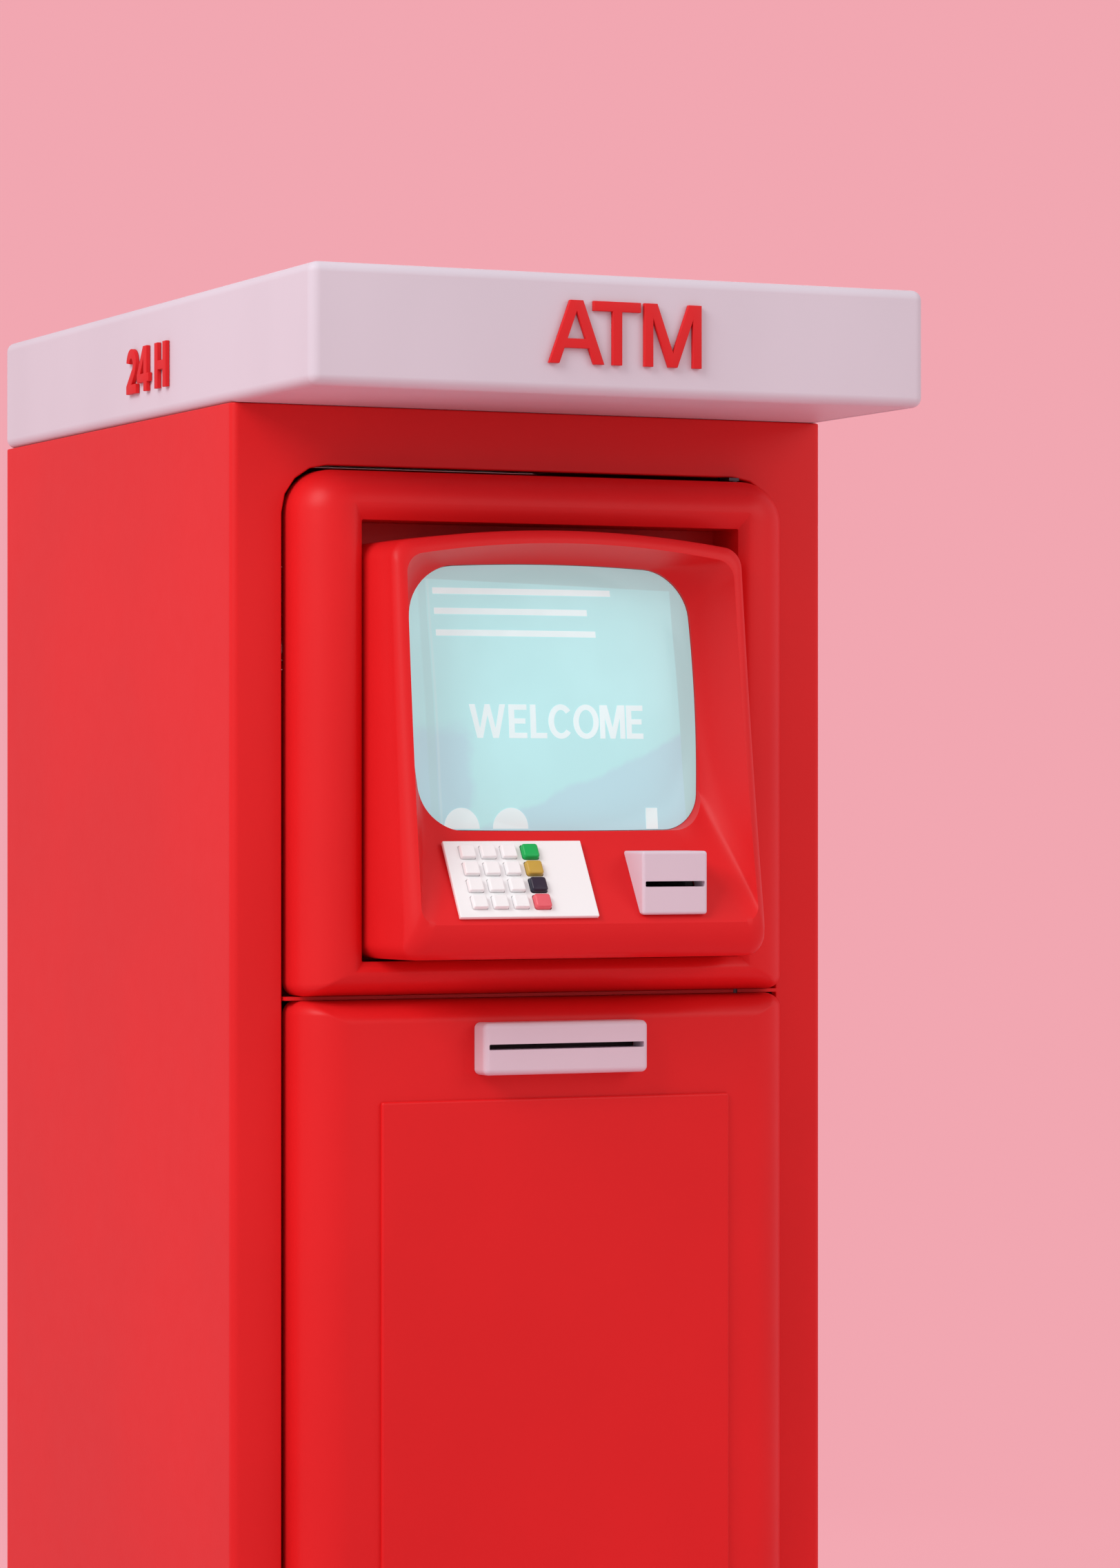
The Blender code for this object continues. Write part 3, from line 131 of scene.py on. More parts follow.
PLATE = (0.146, 0.0853, 0.0045)
PLATE_CENTRE = (-0.067, 0.1175, 1.00375)
KEY_SIZE = (0.0155, 0.0142, 0.0045)
KEY_PITCH = (0.0217, 0.0187)
COMMAND_EXTRA = 0.0016
KEYS_LEFT = 0.0225
KEYS_UP = 0.0011
# corner radius, edge round and dish (or crown, below 0) of a key's top
PLAIN_SHAPE = (0.0016, 0.0013, 0.0002)
COMMAND_SHAPE = (0.0030, 0.0022, -0.00035)

SIGN_PROUD = 0.0050
SIDE_SIGN_PROUD = 0.0045
SIGN_EDGE = 0.0006

# the display's picture: bars are x from, x to, z from, z to; a disc is z, half width, height
WELCOME_STARTS = (-94.4, -54.0, -31.4, -12.2, 14.6, 43.8, 73.4)
WELCOME_Z = 1.1395
BARS = ((-0.1248, 0.0650, 1.2800, 1.2862), (-0.1240, 0.0372, 1.2602, 1.2664),
        (-0.1236, 0.0445, 1.2390, 1.2452), (0.0940, 0.1068, 1.0508, 1.0715))
DISC_CENTRES = (-0.1042, -0.0525)
DISC = (1.0512, 0.0188, 0.0205)
GRAPHIC_EDGE = 0.006
GRAPHIC_STAND = 0.00035
GRAPHIC_THICK = 0.00025

SLOPE_FACE = PLATE_CENTRE[1] - (PLATE[2] + SEAT) / cos(TILT)


def at(forward):
    """World Y of a place this far in front of the cabinet front."""
    return FRONT - forward


def shelf_face(z):
    return SLOPE_FACE + (PLATE_CENTRE[2] - z) * tan(TILT)


def rim_face(z):
    run = (z - CREASE_Z) / (HOOD_SHOULDER - CREASE_Z)
    return shelf_face(CREASE_Z) - RIM_LEAN * run + RIM_EASE * run * run


def glass_face(z):
    run = (z - GLASS_BOTTOM) / (GLASS_TOP - GLASS_BOTTOM)
    return GLASS_LOW_FACE + (GLASS_HIGH_FACE - GLASS_LOW_FACE) * run


def smooth(value):
    value = max(0.0, min(1.0, value))
    return value * value * (3 - 2 * value)


# ---- finishes
class Tone:
    """A value or colour on its way through a finish, with arithmetic."""

    def __init__(self, finish, socket):
        self.finish, self.socket = finish, socket

    def math(self, operation, *values):
        return self.finish.node("ShaderNodeMath", {"operation": operation}, *values)

    def most(self, other):
        return self.math("MAXIMUM", self, other)

    def root(self):
        return self.math("SQRT", self)

    def __add__(self, other):
        return self.math("ADD", self, other)

    def __sub__(self, other):
        return self.math("SUBTRACT", self, other)

    def __rsub__(self, other):
        return self.math("SUBTRACT", other, self)

    def __mul__(self, other):
        return self.math("MULTIPLY", self, other)

    def step(self, low, high):
        """0 below low, 1 above high, and smooth between."""
        settings = {"interpolation_type": "SMOOTHSTEP"}
        return self.finish.node("ShaderNodeMapRange", settings, self, low, high, 0.0, 1.0)

    __radd__ = __add__
    __rmul__ = __mul__


class Finish:
    """One material: a Principled shader and the nodes that feed it."""

    def __init__(self, name, colour, roughness, **constants):
        self.material = bpy.data.materials.new(name)
        self.material.use_nodes = True
        self.tree = self.material.node_tree
        self.shader = self.tree.nodes["Principled BSDF"]
        self.set("Base Color", (*colour, 1.0))
        self.set("Roughness", roughness)
        for socket, value in constants.items():
            self.set(socket.replace("_", " "), value)
        self.material.diffuse_color = (*colour, 1.0)

    def set(self, socket, value):
        self.feed(self.shader.inputs[socket], value)

    def done(self, base, roughness, normal):
        self.set("Base Color", base)
        self.set("Roughness", roughness)
        self.set("Normal", normal)
        return self.material

    def feed(self, socket, value):
        if isinstance(value, Tone):
            self.tree.links.new(value.socket, socket)
        else:
            socket.default_value = value

    def node(self, kind, settings, *values, out=0):
        made = self.tree.nodes.new(kind)
        for name, value in settings.items():
            setattr(made, name, value)
        for k, value in enumerate(values):
            if value is not None:
                self.feed(made.inputs[k], value)
        return Tone(self, made.outputs[out])

    def place(self, scale=(1, 1, 1), turn=(0, 0, 0)):
        """Object coordinates, stretched or turned."""
        spot = self.node("ShaderNodeTexCoord", {}, out=3)
        return self.node("ShaderNodeMapping", {}, spot, (0, 0, 0), turn, scale)

    def noise(self, scale, detail=2.0, roughness=0.5, where=None):
        where = where or self.place()
        return self.node("ShaderNodeTexNoise", {}, where, None, scale, detail, roughness)

    def cells(self, scale, feature="F1", out=0, where=None):
        where = where or self.place()
        return self.node("ShaderNodeTexVoronoi", {"feature": feature}, where, None, scale, out=out)

    def axes(self):
        """Object coordinates as three values."""
        spot = self.node("ShaderNodeTexCoord", {}, out=3).socket
        parts = self.tree.nodes.new("ShaderNodeSeparateXYZ")
        self.tree.links.new(spot, parts.inputs[0])
        return [Tone(self, parts.outputs[k]) for k in range(3)]

    def blend(self, amount, first, second):
        """Mix two colours."""
        mixer = self.tree.nodes.new("ShaderNodeMix")
        mixer.data_type = "RGBA"
        for slot, value in ((0, amount), (6, first), (7, second)):
            socket = mixer.inputs[slot]
            if not isinstance(value, Tone) and socket.type == "RGBA":
                value = (*value[:3], 1.0)
            self.feed(socket, value)
        return Tone(self, mixer.outputs[2])

    def drift(self, value, low, high, colour, darker, paler):
        """A colour that wanders between a darker and a paler shade of itself."""
        return self.blend(value.step(low, high), lighter(colour, darker), lighter(colour, paler))

    def relief(self, height, depth, strength=1.0, under=None):
        """Bump from a height, in metres of depth."""
        bump = self.tree.nodes.new("ShaderNodeBump")
        self.feed(bump.inputs["Height"], height)
        bump.inputs["Distance"].default_value = depth
        bump.inputs["Strength"].default_value = strength
        if under is not None:
            self.feed(bump.inputs["Normal"], under)
        return Tone(self, bump.outputs[0])


def lighter(colour, by):
    return tuple(min(1.0, c * by) for c in colour)


def satin_paint(name, colour, roughness=0.43, coat=0.03):
    """Sprayed satin paint: slight orange peel, soft unevenness, and a little dust low down."""
    f = Finish(name, colour, roughness, Coat_Roughness=0.30, Specular_IOR_Level=0.22)
    broad = f.noise(2.6, 3.0, 0.55)
    mottle = f.noise(38.0, 4.0, 0.6)
    peel = f.noise(430.0, 2.0, 0.5)
    grit = f.cells(1500.0)
    tint = f.drift(broad, 0.30, 0.70, colour, 0.965, 1.03)
    tint = f.blend(mottle.step(0.55, 0.80) * 0.10, tint, lighter(colour, 0.90))
    height = f.axes()[2]
    dust = (1 - height.step(0.05, 0.28)) * mottle.step(0.42, 0.75) * 0.16
    f.set("Coat Weight", (1 - dust * 4.0) * coat)
    first = f.relief(peel, 0.00011, 0.55)
    base = f.blend(dust, tint, (0.42, 0.30, 0.27))
    rough = broad * 0.08 + mottle * 0.07 + dust * 0.6 + (roughness - 0.075)
    return f.done(base, rough, f.relief(grit, 0.00003, 0.30, first))


def moulded(name, colour, roughness=0.42, grain=900.0, depth=0.00004, drift=0.03):
    """Moulded plastic: fine even grain, faint flow marks and slight colour drift."""
    f = Finish(name, colour, roughness, Specular_IOR_Level=0.30)
    flow = f.noise(5.0, 3.0, 0.5, f.place((1.0, 1.0, 0.35)))
    fine = f.noise(grain, 3.0, 0.6)
    pits = f.cells(grain * 1.7)
    tint = f.drift(flow, 0.3, 0.7, colour, 1 - drift, 1 + drift / 2)
    base = f.blend(fine.step(0.62, 0.82) * 0.05, tint, lighter(colour, 0.82))
    rough = fine * 0.10 + flow * 0.05 + (roughness - 0.07)
    return f.done(base, rough, f.relief(fine + pits * 0.6, depth, 0.35))


def powder(name, colour, roughness=0.55):
    """Powder-coated sheet: a pebbled skin with tiny lighter specks."""
    f = Finish(name, colour, roughness)
    pebble = f.cells(620.0, "SMOOTH_F1")
    speck = f.cells(2100.0, out=0)
    broad = f.noise(4.0, 3.0)
    tint = f.drift(broad, 0.3, 0.7, colour, 0.90, 1.10)
    base = f.blend((1 - speck.step(0.05, 0.22)) * 0.25, tint, lighter(colour, 1.7))
    return f.done(base, pebble * 0.18 + (roughness - 0.08), f.relief(pebble, 0.00016, 0.35))


def drawn_metal(name, colour, along=(1.0, 1.0, 1.0), roughness=0.34, stain=0.12):
    """Bare steel with long fine brush lines and slight stains."""
    f = Finish(name, colour, roughness, Metallic=1.0)
    lines = f.noise(900.0, 3.0, 0.65, f.place(along))
    wide = f.noise(160.0, 2.0, 0.5, f.place(along))
    cloud = f.noise(11.0, 4.0, 0.6)
    tint = f.drift(lines, 0.25, 0.75, colour, 0.86, 1.10)
    base = f.blend(cloud.step(0.50, 0.80) * stain, tint, lighter(colour, 0.55))
    rough = lines * 0.16 + cloud * 0.12 + (roughness - 0.12)
    return f.done(base, rough, f.relief(lines + wide * 0.6, 0.00003, 0.45))


def spangled(name, colour):
    """Zinc-coated sheet with its frosted crystals."""
    f = Finish(name, colour, 0.4, Metallic=0.95)
    flakes = f.cells(46.0, out=1)
    edge = f.cells(46.0, "DISTANCE_TO_EDGE")
    grey = f.node("ShaderNodeRGBToBW", {}, flakes)
    fine = f.noise(700.0, 2.0)
    tint = f.blend(grey, lighter(colour, 0.72), lighter(colour, 1.18))
    base = f.blend((1 - edge.step(0.0, 0.06)) * 0.25, tint, lighter(colour, 0.6))
    return f.done(base, grey * 0.22 + fine * 0.08 + 0.24, f.relief(fine + grey * 0.5, 0.00003, 0.35))


def gum(name, colour=(0.028, 0.028, 0.03)):
    """Black rubber with a dry bloom."""
    f = Finish(name, colour, 0.8)
    bloom = f.noise(26.0, 4.0, 0.6)
    fine = f.noise(1100.0, 2.0)
    base = f.blend(bloom.step(0.45, 0.75) * 0.30, colour, (0.10, 0.098, 0.095))
    return f.done(base, bloom * 0.12 + 0.72, f.relief(fine, 0.00006, 0.5))


def foam(name, colour):
    """Open-cell filter foam: pores painted dark for the shade inside them, between paler struts."""
    f = Finish(name, colour, 0.9)
    strut = 1 - f.cells(420.0, "DISTANCE_TO_EDGE").step(0.02, 0.12)
    # painted shade: the pores darker than the struts
    base = f.blend(strut, lighter(colour, 0.45), lighter(colour, 1.9))
    return f.done(base, strut * 0.06 + 0.86, f.relief(strut, 0.0004, 0.8))


def display(name):
    """Lit picture behind curved glass: a pale teal field, a grey masked border and a soft painted
    reflection of a skyline.
    """
    teal, edge, reflection_blue = (0.465, 0.820, 0.835), (0.430, 0.700, 0.710), (0.452, 0.700, 0.785)
    f = Finish(name, teal, 0.16, Coat_Roughness=0.08, Specular_IOR_Level=0.14)
    x, _, z = f.axes()
    wave = (f.noise(26.0, 3.0, 0.6) - 0.5) * 0.030
    # masked border: wide along the top, narrow at the right
    side = (x + (z - GLASS_BOTTOM) * 0.030).step(GLASS_HALF - 0.0100, GLASS_HALF - 0.0085)
    hem = side.most((z + x * 0.030).step(GLASS_TOP - 0.0150, GLASS_TOP - 0.0135))
    # painted reflection of a skyline: a bank at the lower left and a long slope up to the right
    reflected_bank = (wave - x - 0.098).step(-0.010, 0.006) * (wave + GLASS_BOTTOM + 0.096 - z).step(-0.012, 0.010)
    rise = (x * 0.42 + (GLASS_BOTTOM + 0.038) - z + wave * 0.6).step(-0.003, 0.006)
    # two upright streaks near the left edge
    lean = x + (GLASS_TOP - z) * -0.020 + GLASS_HALF
    grey = lean.step(0.006, 0.009) * (1 - lean.step(0.0150, 0.0165))
    bright = lean.step(0.0165, 0.0175) * (1 - lean.step(0.0185, 0.0200))
    field = f.drift(f.noise(14.0, 2.0), 0.3, 0.7, teal, 0.985, 1.015)
    # mix the painted skyline reflection into the picture
    field = f.blend(reflected_bank.most(rise) * 0.75, field, reflection_blue)
    field = f.blend(grey * 0.45, field, edge)
    field = f.blend(bright * 0.30, field, (0.62, 0.84, 0.85))
    field = f.blend(hem, field, edge)
    f.set("Base Color", f.blend(0.30, field, (0.0, 0.0, 0.0)))
    f.set("Emission Color", field)
    f.set("Emission Strength", 0.47)
    f.set("Coat Weight", f.noise(3.0, 2.0) * 0.06 + 0.03)
    f.set("Roughness", f.noise(60.0, 2.0) * 0.03 + 0.15)
    return f.material


def ink(name, colour):
    """Light characters that the picture shows."""
    f = Finish(name, colour, 0.20, Specular_IOR_Level=0.30)
    fade = f.noise(30.0, 2.0)
    tint = f.drift(fade, 0.3, 0.7, colour, 0.975, 1.02)
    f.set("Base Color", f.blend(0.30, tint, (0.0, 0.0, 0.0)))
    f.set("Emission Color", tint)
    f.set("Emission Strength", 0.47)
    return f.material


RED = satin_paint("satin_red", (0.735, 0.0125, 0.0150))
SIGN_RED = satin_paint("letter_red", (0.700, 0.0150, 0.0180), 0.50, 0.0)
PALE = moulded("pale_canopy", (0.700, 0.620, 0.700), 0.50, 760.0)
BEZEL = moulded("pale_bezel", (0.720, 0.610, 0.695), 0.44, 980.0)
WHITE = moulded("white_keypad", (0.925, 0.935, 0.940), 0.30, 1300.0, 0.00002, 0.012)
KEY_PAINTS = {row: moulded(f"{name}_key", colour, 0.30, 1300.0, 0.00002) for row, name, colour in (
    (1, "green", (0.004, 0.450, 0.098)), (2, "yellow", (0.560, 0.370, 0.062)),
    (3, "navy", (0.024, 0.025, 0.046)), (4, "rose", (0.800, 0.130, 0.160)))}
SCREEN = display("lit_display")
INK = ink("display_characters", (0.720, 0.900, 0.910))
BLUED = drawn_metal("blued_steel", (0.085, 0.085, 0.095), (0.05, 1.0, 1.0), 0.46)
STEEL = drawn_metal("drawn_steel", (0.56, 0.57, 0.59), (0.05, 1.0, 1.0))
BRIGHT = drawn_metal("bright_screws", (0.66, 0.66, 0.67), (1.0, 1.0, 1.0), 0.28, 0.04)
ZINC = spangled("zinc_sheet", (0.55, 0.57, 0.60))
CASE = powder("grey_case", (0.30, 0.31, 0.33))
PLINTH = powder("plinth_black", (0.040, 0.040, 0.045))
BLACK = moulded("black_moulding", (0.030, 0.030, 0.034), 0.52, 800.0, 0.00006)
RUBBER = gum("black_rubber")
FOAM = foam("filter_foam", (0.030, 0.030, 0.033))

# ---- making pieces


def mesh_of(name, bm):
    """Keep geometry as a mesh and let the working copy go."""
    mesh = bpy.data.meshes.new(name)
    bm.to_mesh(mesh)
    bm.free()
    return mesh


def merge(bm, part):
    """Add one geometry to another."""
    bm.from_mesh(mesh_of("part", part))


def linked(name, data):
    """A new object in the scene."""
    obj = bpy.data.objects.new(name, data)
    bpy.context.scene.collection.objects.link(obj)
    return obj


def evaluated(obj):
    """The mesh that an object comes to with its modifiers run."""
    bpy.context.view_layer.update()
    graph = bpy.context.evaluated_depsgraph_get()
    return bpy.data.meshes.new_from_object(obj.evaluated_get(graph))


def piece(name, bm, paint, body, slot, stands_for=(), crease=32.0, weighted=False):
    """Turn geometry into a finished piece that rides on a body."""
    return settle(name, mesh_of(name, bm), paint, body, stands_for, crease, weighted)


def stand_in(node, name, bm, paint, crease=34.0, weighted=False):
    """A piece that takes the place and body of a CAD node."""
    return piece(name, bm, paint, body_of(node), slot_of(node), (node,), crease, weighted)


def settle(name, mesh, paint, body, stands_for=(), crease=32.0, weighted=False):
    mesh.materials.clear()
    mesh.materials.append(paint)
    for face in mesh.polygons:
        face.use_smooth = True
    mesh.set_sharp_from_angle(angle=radians(crease))
    obj = linked(name, mesh)
    if weighted:
        obj.modifiers.new("even_shading", "WEIGHTED_NORMAL").keep_sharp = True
    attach(obj, body)
    if stands_for:
        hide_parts(*stands_for)
    return obj


def body_of(node):
    for body, nodes in frame["record"]["behaviour"]["bodies"].items():
        if node in nodes:
            return body
    return None


def slot_of(node):
    for row in frame["record"]["subparts"]:
        if row["node"] == node:
            return row["material_slot"]
    return None


def eased(node, paint, edge=0.0008, segments=2, crease=40.0, limit=28.0):
    """A copy of a CAD node with its sharp edges rounded."""
    bm = bmesh.new()
    bm.from_mesh(frame["nodes"][node].data)
    bmesh.ops.remove_doubles(bm, verts=bm.verts, dist=2e-5)
    bmesh.ops.dissolve_limit(bm, angle_limit=radians(0.8), verts=bm.verts, edges=bm.edges)
    sharp = [e for e in bm.edges if e.is_manifold and e.calc_face_angle(0) > radians(limit)]
    bmesh.ops.bevel(bm, geom=sharp, offset=edge, segments=segments, profile=0.5,
                    affect="EDGES", clamp_overlap=True)
    bmesh.ops.triangulate(bm, faces=[f for f in bm.faces if len(f.verts) > 8])
    return stand_in(node, node + "_eased", bm, paint, crease, True)


def outline(half_low, half_high, bottom, top, low_radius, high_radius, arch=0.0, bow=0.0,
            corner=12, side=26):
    """Points (x, z) round a rounded rectangle, whose width may change with height."""
    corners = [(half_low, bottom, low_radius, -90), (half_high, top, high_radius, 0),
               (-half_high, top, high_radius, 90), (-half_low, bottom, low_radius, 180)]
    arcs = []
    for x, z, radius, start in corners:
        cx = x - radius if x > 0 else x + radius
        cz = z + radius if z == bottom else z - radius
        turn = [radians(start + 90 * i / corner) for i in range(corner + 1)]
        arcs.append([(cx + radius * cos(a), cz + radius * sin(a)) for a in turn])
    points = []
    for k, arc in enumerate(arcs):
        ahead = arcs[(k + 1) % 4][0]
        points += arc
        for i in range(1, side):
            t = i / side
            points.append((arc[-1][0] * (1 - t) + ahead[0] * t, arc[-1][1] * (1 - t) + ahead[1] * t))
    middle, tall, wide = (bottom + top) / 2, (top - bottom) / 2, max(half_low, half_high)
    shaped = []
    for x, z in points:
        v, u = (z - middle) / tall, x / wide
        rise = (1 - u * u) * (arch * max(v, 0) + bow * (v if v > 0 else v * 0.2))
        shaped.append((x + bow * (1 - v * v) * u, z + rise))
    return shaped


def loop(points, forward):
    if callable(forward):
        return [Vector((x, at(forward(z)), z)) for x, z in points]
    return [Vector((x, at(forward), z)) for x, z in points]


def skin(loops, closed):
    """Join loops of equal length into a solid ring, or a body capped at both ends."""
    bm = bmesh.new()
    rows = [[bm.verts.new(p) for p in points] for points in loops]
    pairs = list(zip(rows, rows[1:]))
    if closed:
        pairs.append((rows[-1], rows[0]))
    count = len(rows[0])
    for first, second in pairs:
        for i in range(count):
            j = (i + 1) % count
            bm.faces.new((first[i], first[j], second[j], second[i]))
    if not closed:
        bm.faces.new(rows[0])
        bm.faces.new(rows[-1][::-1])
    bmesh.ops.remove_doubles(bm, verts=bm.verts, dist=1e-7)
    bmesh.ops.recalc_face_normals(bm, faces=bm.faces)
    return bm


def block(lo, hi):
    bm = bmesh.new()
    bmesh.ops.create_cube(bm, size=1.0)
    bmesh.ops.scale(bm, vec=[h - l for l, h in zip(lo, hi)], verts=bm.verts)
    bmesh.ops.translate(bm, vec=[(h + l) / 2 for l, h in zip(lo, hi)], verts=bm.verts)
    return bm


def rounded(lo, hi, radius, segments=4, pick=None):
    """A box with its edges, or the picked ones, rounded."""
    bm = block(lo, hi)
    edges = [e for e in bm.edges if pick is None or pick(e)]
    bmesh.ops.bevel(bm, geom=edges, offset=radius, segments=segments, profile=0.5, affect="EDGES")
    return bm


def turned(profile, centre, axis, steps=64):
    """A turned solid: profile is (radius, distance along the axis)."""
    bm = bmesh.new()
    stand = Vector(axis).to_track_quat("Z", "Y").to_matrix()
    rings = []
    for radius, along in profile:
        count = 1 if radius == 0 else steps
        spokes = [Vector((radius * cos(2 * pi * i / steps), radius * sin(2 * pi * i / steps), along))
                  for i in range(count)]
        rings.append([bm.verts.new(Vector(centre) + stand @ spoke) for spoke in spokes])
    for first, second in zip(rings, rings[1:]):
        for i in range(steps):
            j = (i + 1) % steps
            if len(first) == 1:
                bm.faces.new((first[0], second[i], second[j]))
            elif len(second) == 1:
                bm.faces.new((first[i], first[j], second[0]))
            else:
                bm.faces.new((first[i], first[j], second[j], second[i]))
    bmesh.ops.recalc_face_normals(bm, faces=bm.faces)
    return bm


def rod(centre, axis, radius, half, steps):
    """A plain round bar, for cutting a hole."""
    profile = [(0, -half), (radius, -half), (radius, half), (0, half)]
    return turned(profile, centre, axis, steps)


def way_through(opening, side, near, far, tall):
    """Two corners of a box through a stated opening, a little wider and taller than it."""
    lo, hi = OPENINGS[opening]
    return (lo.x - side, near, lo.z - tall), (hi.x + side, far, hi.z + tall)


def along_depth(edge):
    return abs(edge.verts[0].co.y - edge.verts[1].co.y) > 1e-4


def hinge_holes(low, high):
    """Cutters that clear the hinge pin at both ends of a panel."""
    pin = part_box("centre_hinge_pin")
    centre = (pin[0] + pin[1]) / 2
    return [rod((centre.x, centre.y, z), (0, 0, 1), PIN_HOLE, PIN_HOLE_REACH, 32) for z in (low, high)]


def cut(obj, cutters):
    """Cut geometry out of a piece and keep the result as its mesh."""
    tools = []
    for bm in cutters:
        tool = linked("tool", mesh_of("tool", bm))
        tools.append(tool)
        hole = obj.modifiers.new("hole", "BOOLEAN")
        hole.operation, hole.solver, hole.object = "DIFFERENCE", "EXACT", tool
    made = evaluated(obj)
    obj.modifiers.clear()
    obj.data = made
    for tool in tools:
        bpy.data.objects.remove(tool, do_unlink=True)


def drilled(bm, cutters):
    """The same, on geometry that isn't a piece yet."""
    blank = linked("blank", mesh_of("blank", bm))
    cut(blank, cutters)
    bm = bmesh.new()
    bm.from_mesh(blank.data)
    bpy.data.objects.remove(blank, do_unlink=True)
    return bm


def slope():
    """Matrix from a flat drawing (x right, y up the slope, z off the face) to the keypad slope."""
    turn = Matrix.Rotation(pi / 2 - TILT, 4, "X")
    return Matrix.Translation((PLATE_CENTRE[0], at(PLATE_CENTRE[1]), PLATE_CENTRE[2])) @ turn


def tilted(bm):
    bmesh.ops.transform(bm, matrix=slope(), verts=bm.verts)
    return bm


# ---- upper panel and door
def fillet_loops(half, bottom, top, low_radius, high_radius, side, low, high, inset=0.0, steps=16):
    """Loops up the side and over the pillowed edge of a panel."""
    loops = []
    for k in range(steps + 1):
        a = radians(90 * k / steps)
        run = 1 - cos(a)
        s, lo, hi = side * run, low * run, high * run
        low_arc = max(low_radius - inset - min(s, lo), 0.002)
        high_arc = max(high_radius - inset - min(s, hi), 0.002)
        wide = half - inset - s
        shape = outline(wide, wide, bottom + inset + lo, top - inset - hi, low_arc, high_arc)
        loops.append(loop(shape, FACE - FILLET + (FILLET - inset) * sin(a)))
    return [loop([(p.x, p.z) for p in loops[0]], MODULE_BACK)] + loops


def surround():
    sizes = (MODULE_HALF, PANEL_LOW.z, PANEL_HIGH.z, GROOVE_CORNER, MODULE_RADIUS,
             FILLET, LOW_FILLET, TOP_FILLET)
    outer = fillet_loops(*sizes)
    inner = fillet_loops(*sizes, WALL)
    w, b, t, sharp, lip = WINDOW_HALF, WINDOW_BOTTOM, WINDOW_TOP, 0.0015, 0.003
    rows = list(outer)
    steps = 6
    for k in range(steps + 1):
        u = 1 - k / steps
        shape = outline(w + WINDOW_BEVEL * u, w + WINDOW_BEVEL * u, b - WINDOW_BEVEL * u,
                        t + WINDOW_BEVEL_TALL * u, sharp, sharp)
        rows.append(loop(shape, WINDOW_EDGE + (FACE - WINDOW_EDGE) * (1 - (1 - u) ** 1.6)))
    mouth = outline(w, w, b, t, sharp, sharp)
    wall = outline(w + lip, w + lip, b - lip, t + lip, sharp, sharp)
    rows += [loop(mouth, WINDOW_EDGE - 0.0012), loop(mouth, MODULE_BACK), loop(wall, MODULE_BACK),
             loop(wall, WINDOW_EDGE - 0.010)]
    bm = skin(rows + inner[::-1], True)
    holes = hinge_holes(PANEL_LOW.z, PANEL_HIGH.z)
    return stand_in("surround_frame", "surround_moulding", drilled(bm, holes), RED)


def hood_rows(inset, behind, flanged):
    """Loops from the back of the hood, over its rounded edge and down its dish to the glass."""
    shoulder, bottom = HOOD_SHOULDER - inset, HOOD_BOTTOM + inset
    edge = (HOOD_RADIUS, HOOD_RADIUS, HOOD_ARCH, 0, 12, HOOD_STEPS)
    root = outline(HOOD_ROOT - inset, HOOD_ROOT - inset, bottom, shoulder, *edge)
    side = outline(HOOD_LOW_HALF - inset, HOOD_TOP_HALF - inset, bottom, shoulder, *edge)
    rim = outline(HOOD_LOW_HALF - HOOD_ROUND, HOOD_TOP_HALF - HOOD_ROUND, CREASE_Z,
                  HOOD_SHOULDER - HOOD_ROUND, *edge)
    glass = outline(GLASS_HALF, GLASS_HALF, GLASS_BOTTOM, GLASS_TOP, GLASS_LOW_RADIUS, GLASS_RADIUS,
                    0, GLASS_BOW, 12, HOOD_STEPS)
    rows = [loop(root, -HOOD_BACK)]
    if flanged:
        reach = WINDOW_HALF + FLANGE_REACH
        flange = outline(reach, reach, WINDOW_BOTTOM - FLANGE_REACH, WINDOW_TOP + FLANGE_REACH,
                         HOOD_RADIUS, HOOD_RADIUS, side=HOOD_STEPS)
        seat = MODULE_BACK - SEAT
        back = seat - HOOD_WALL
        rows += [loop(root, back), loop(flange, back), loop(flange, seat), loop(root, seat)]
    near = WINDOW_EDGE - 0.002
    rows.append(loop(root, near))
    for k in range(1, 5):
        t = k / 5
        row = []
        for (rx, rz), (sx, sz) in zip(root, side):
            z = rz + (sz - rz) * t
            lip = rim_face(max(z, CREASE_Z)) - behind - lip_depth(z)
            row.append(Vector((rx + (sx - rx) * t, at(near * (1 - t) + lip * t), z)))
        rows.append(row)
    for k in range(11):
        rows.append(rounded_row(side, rim, radians(9 * k), behind))
    dish = [rows.pop()]
    dish += [dish_row(rim, glass, k / DISH_ROWS, behind) for k in range(1, DISH_ROWS + 1)]
    return rows + softened(dish, DISH_ROUNDS), glass


def softened(dish, rounds):
    """The dish with the valleys between its faces blended; its rim and glass edge stay."""
    count = len(dish[0])
    for _ in range(rounds):
        depths = [[p.y for p in row] for row in dish]
        for i in range(1, len(dish) - 1):
            for j, point in enumerate(dish[i]):
                beside = depths[i][j - 1] + depths[i][(j + 1) % count]
                point.y = (depths[i - 1][j] + depths[i + 1][j] + beside) / 4
    return dish


def lip_depth(z):
    """How deep the round at the hood's rim goes; it goes deeper near the crease."""
    return HOOD_ROUND + LIP_EXTRA * smooth((CREASE_Z + LIP_RUN - z) / LIP_RUN)


def rounded_row(side, rim, a, behind):
    row = []
    blend = 1 - cos(a)
    for (sx, sz), (rx, rz) in zip(side, rim):
        face = rim_face(max(rz, CREASE_Z)) - behind
        x, z = sx + (rx - sx) * blend, sz + (rz - sz) * blend
        row.append(Vector((x, at(face - lip_depth(rz) * (1 - sin(a))), z)))
    return row


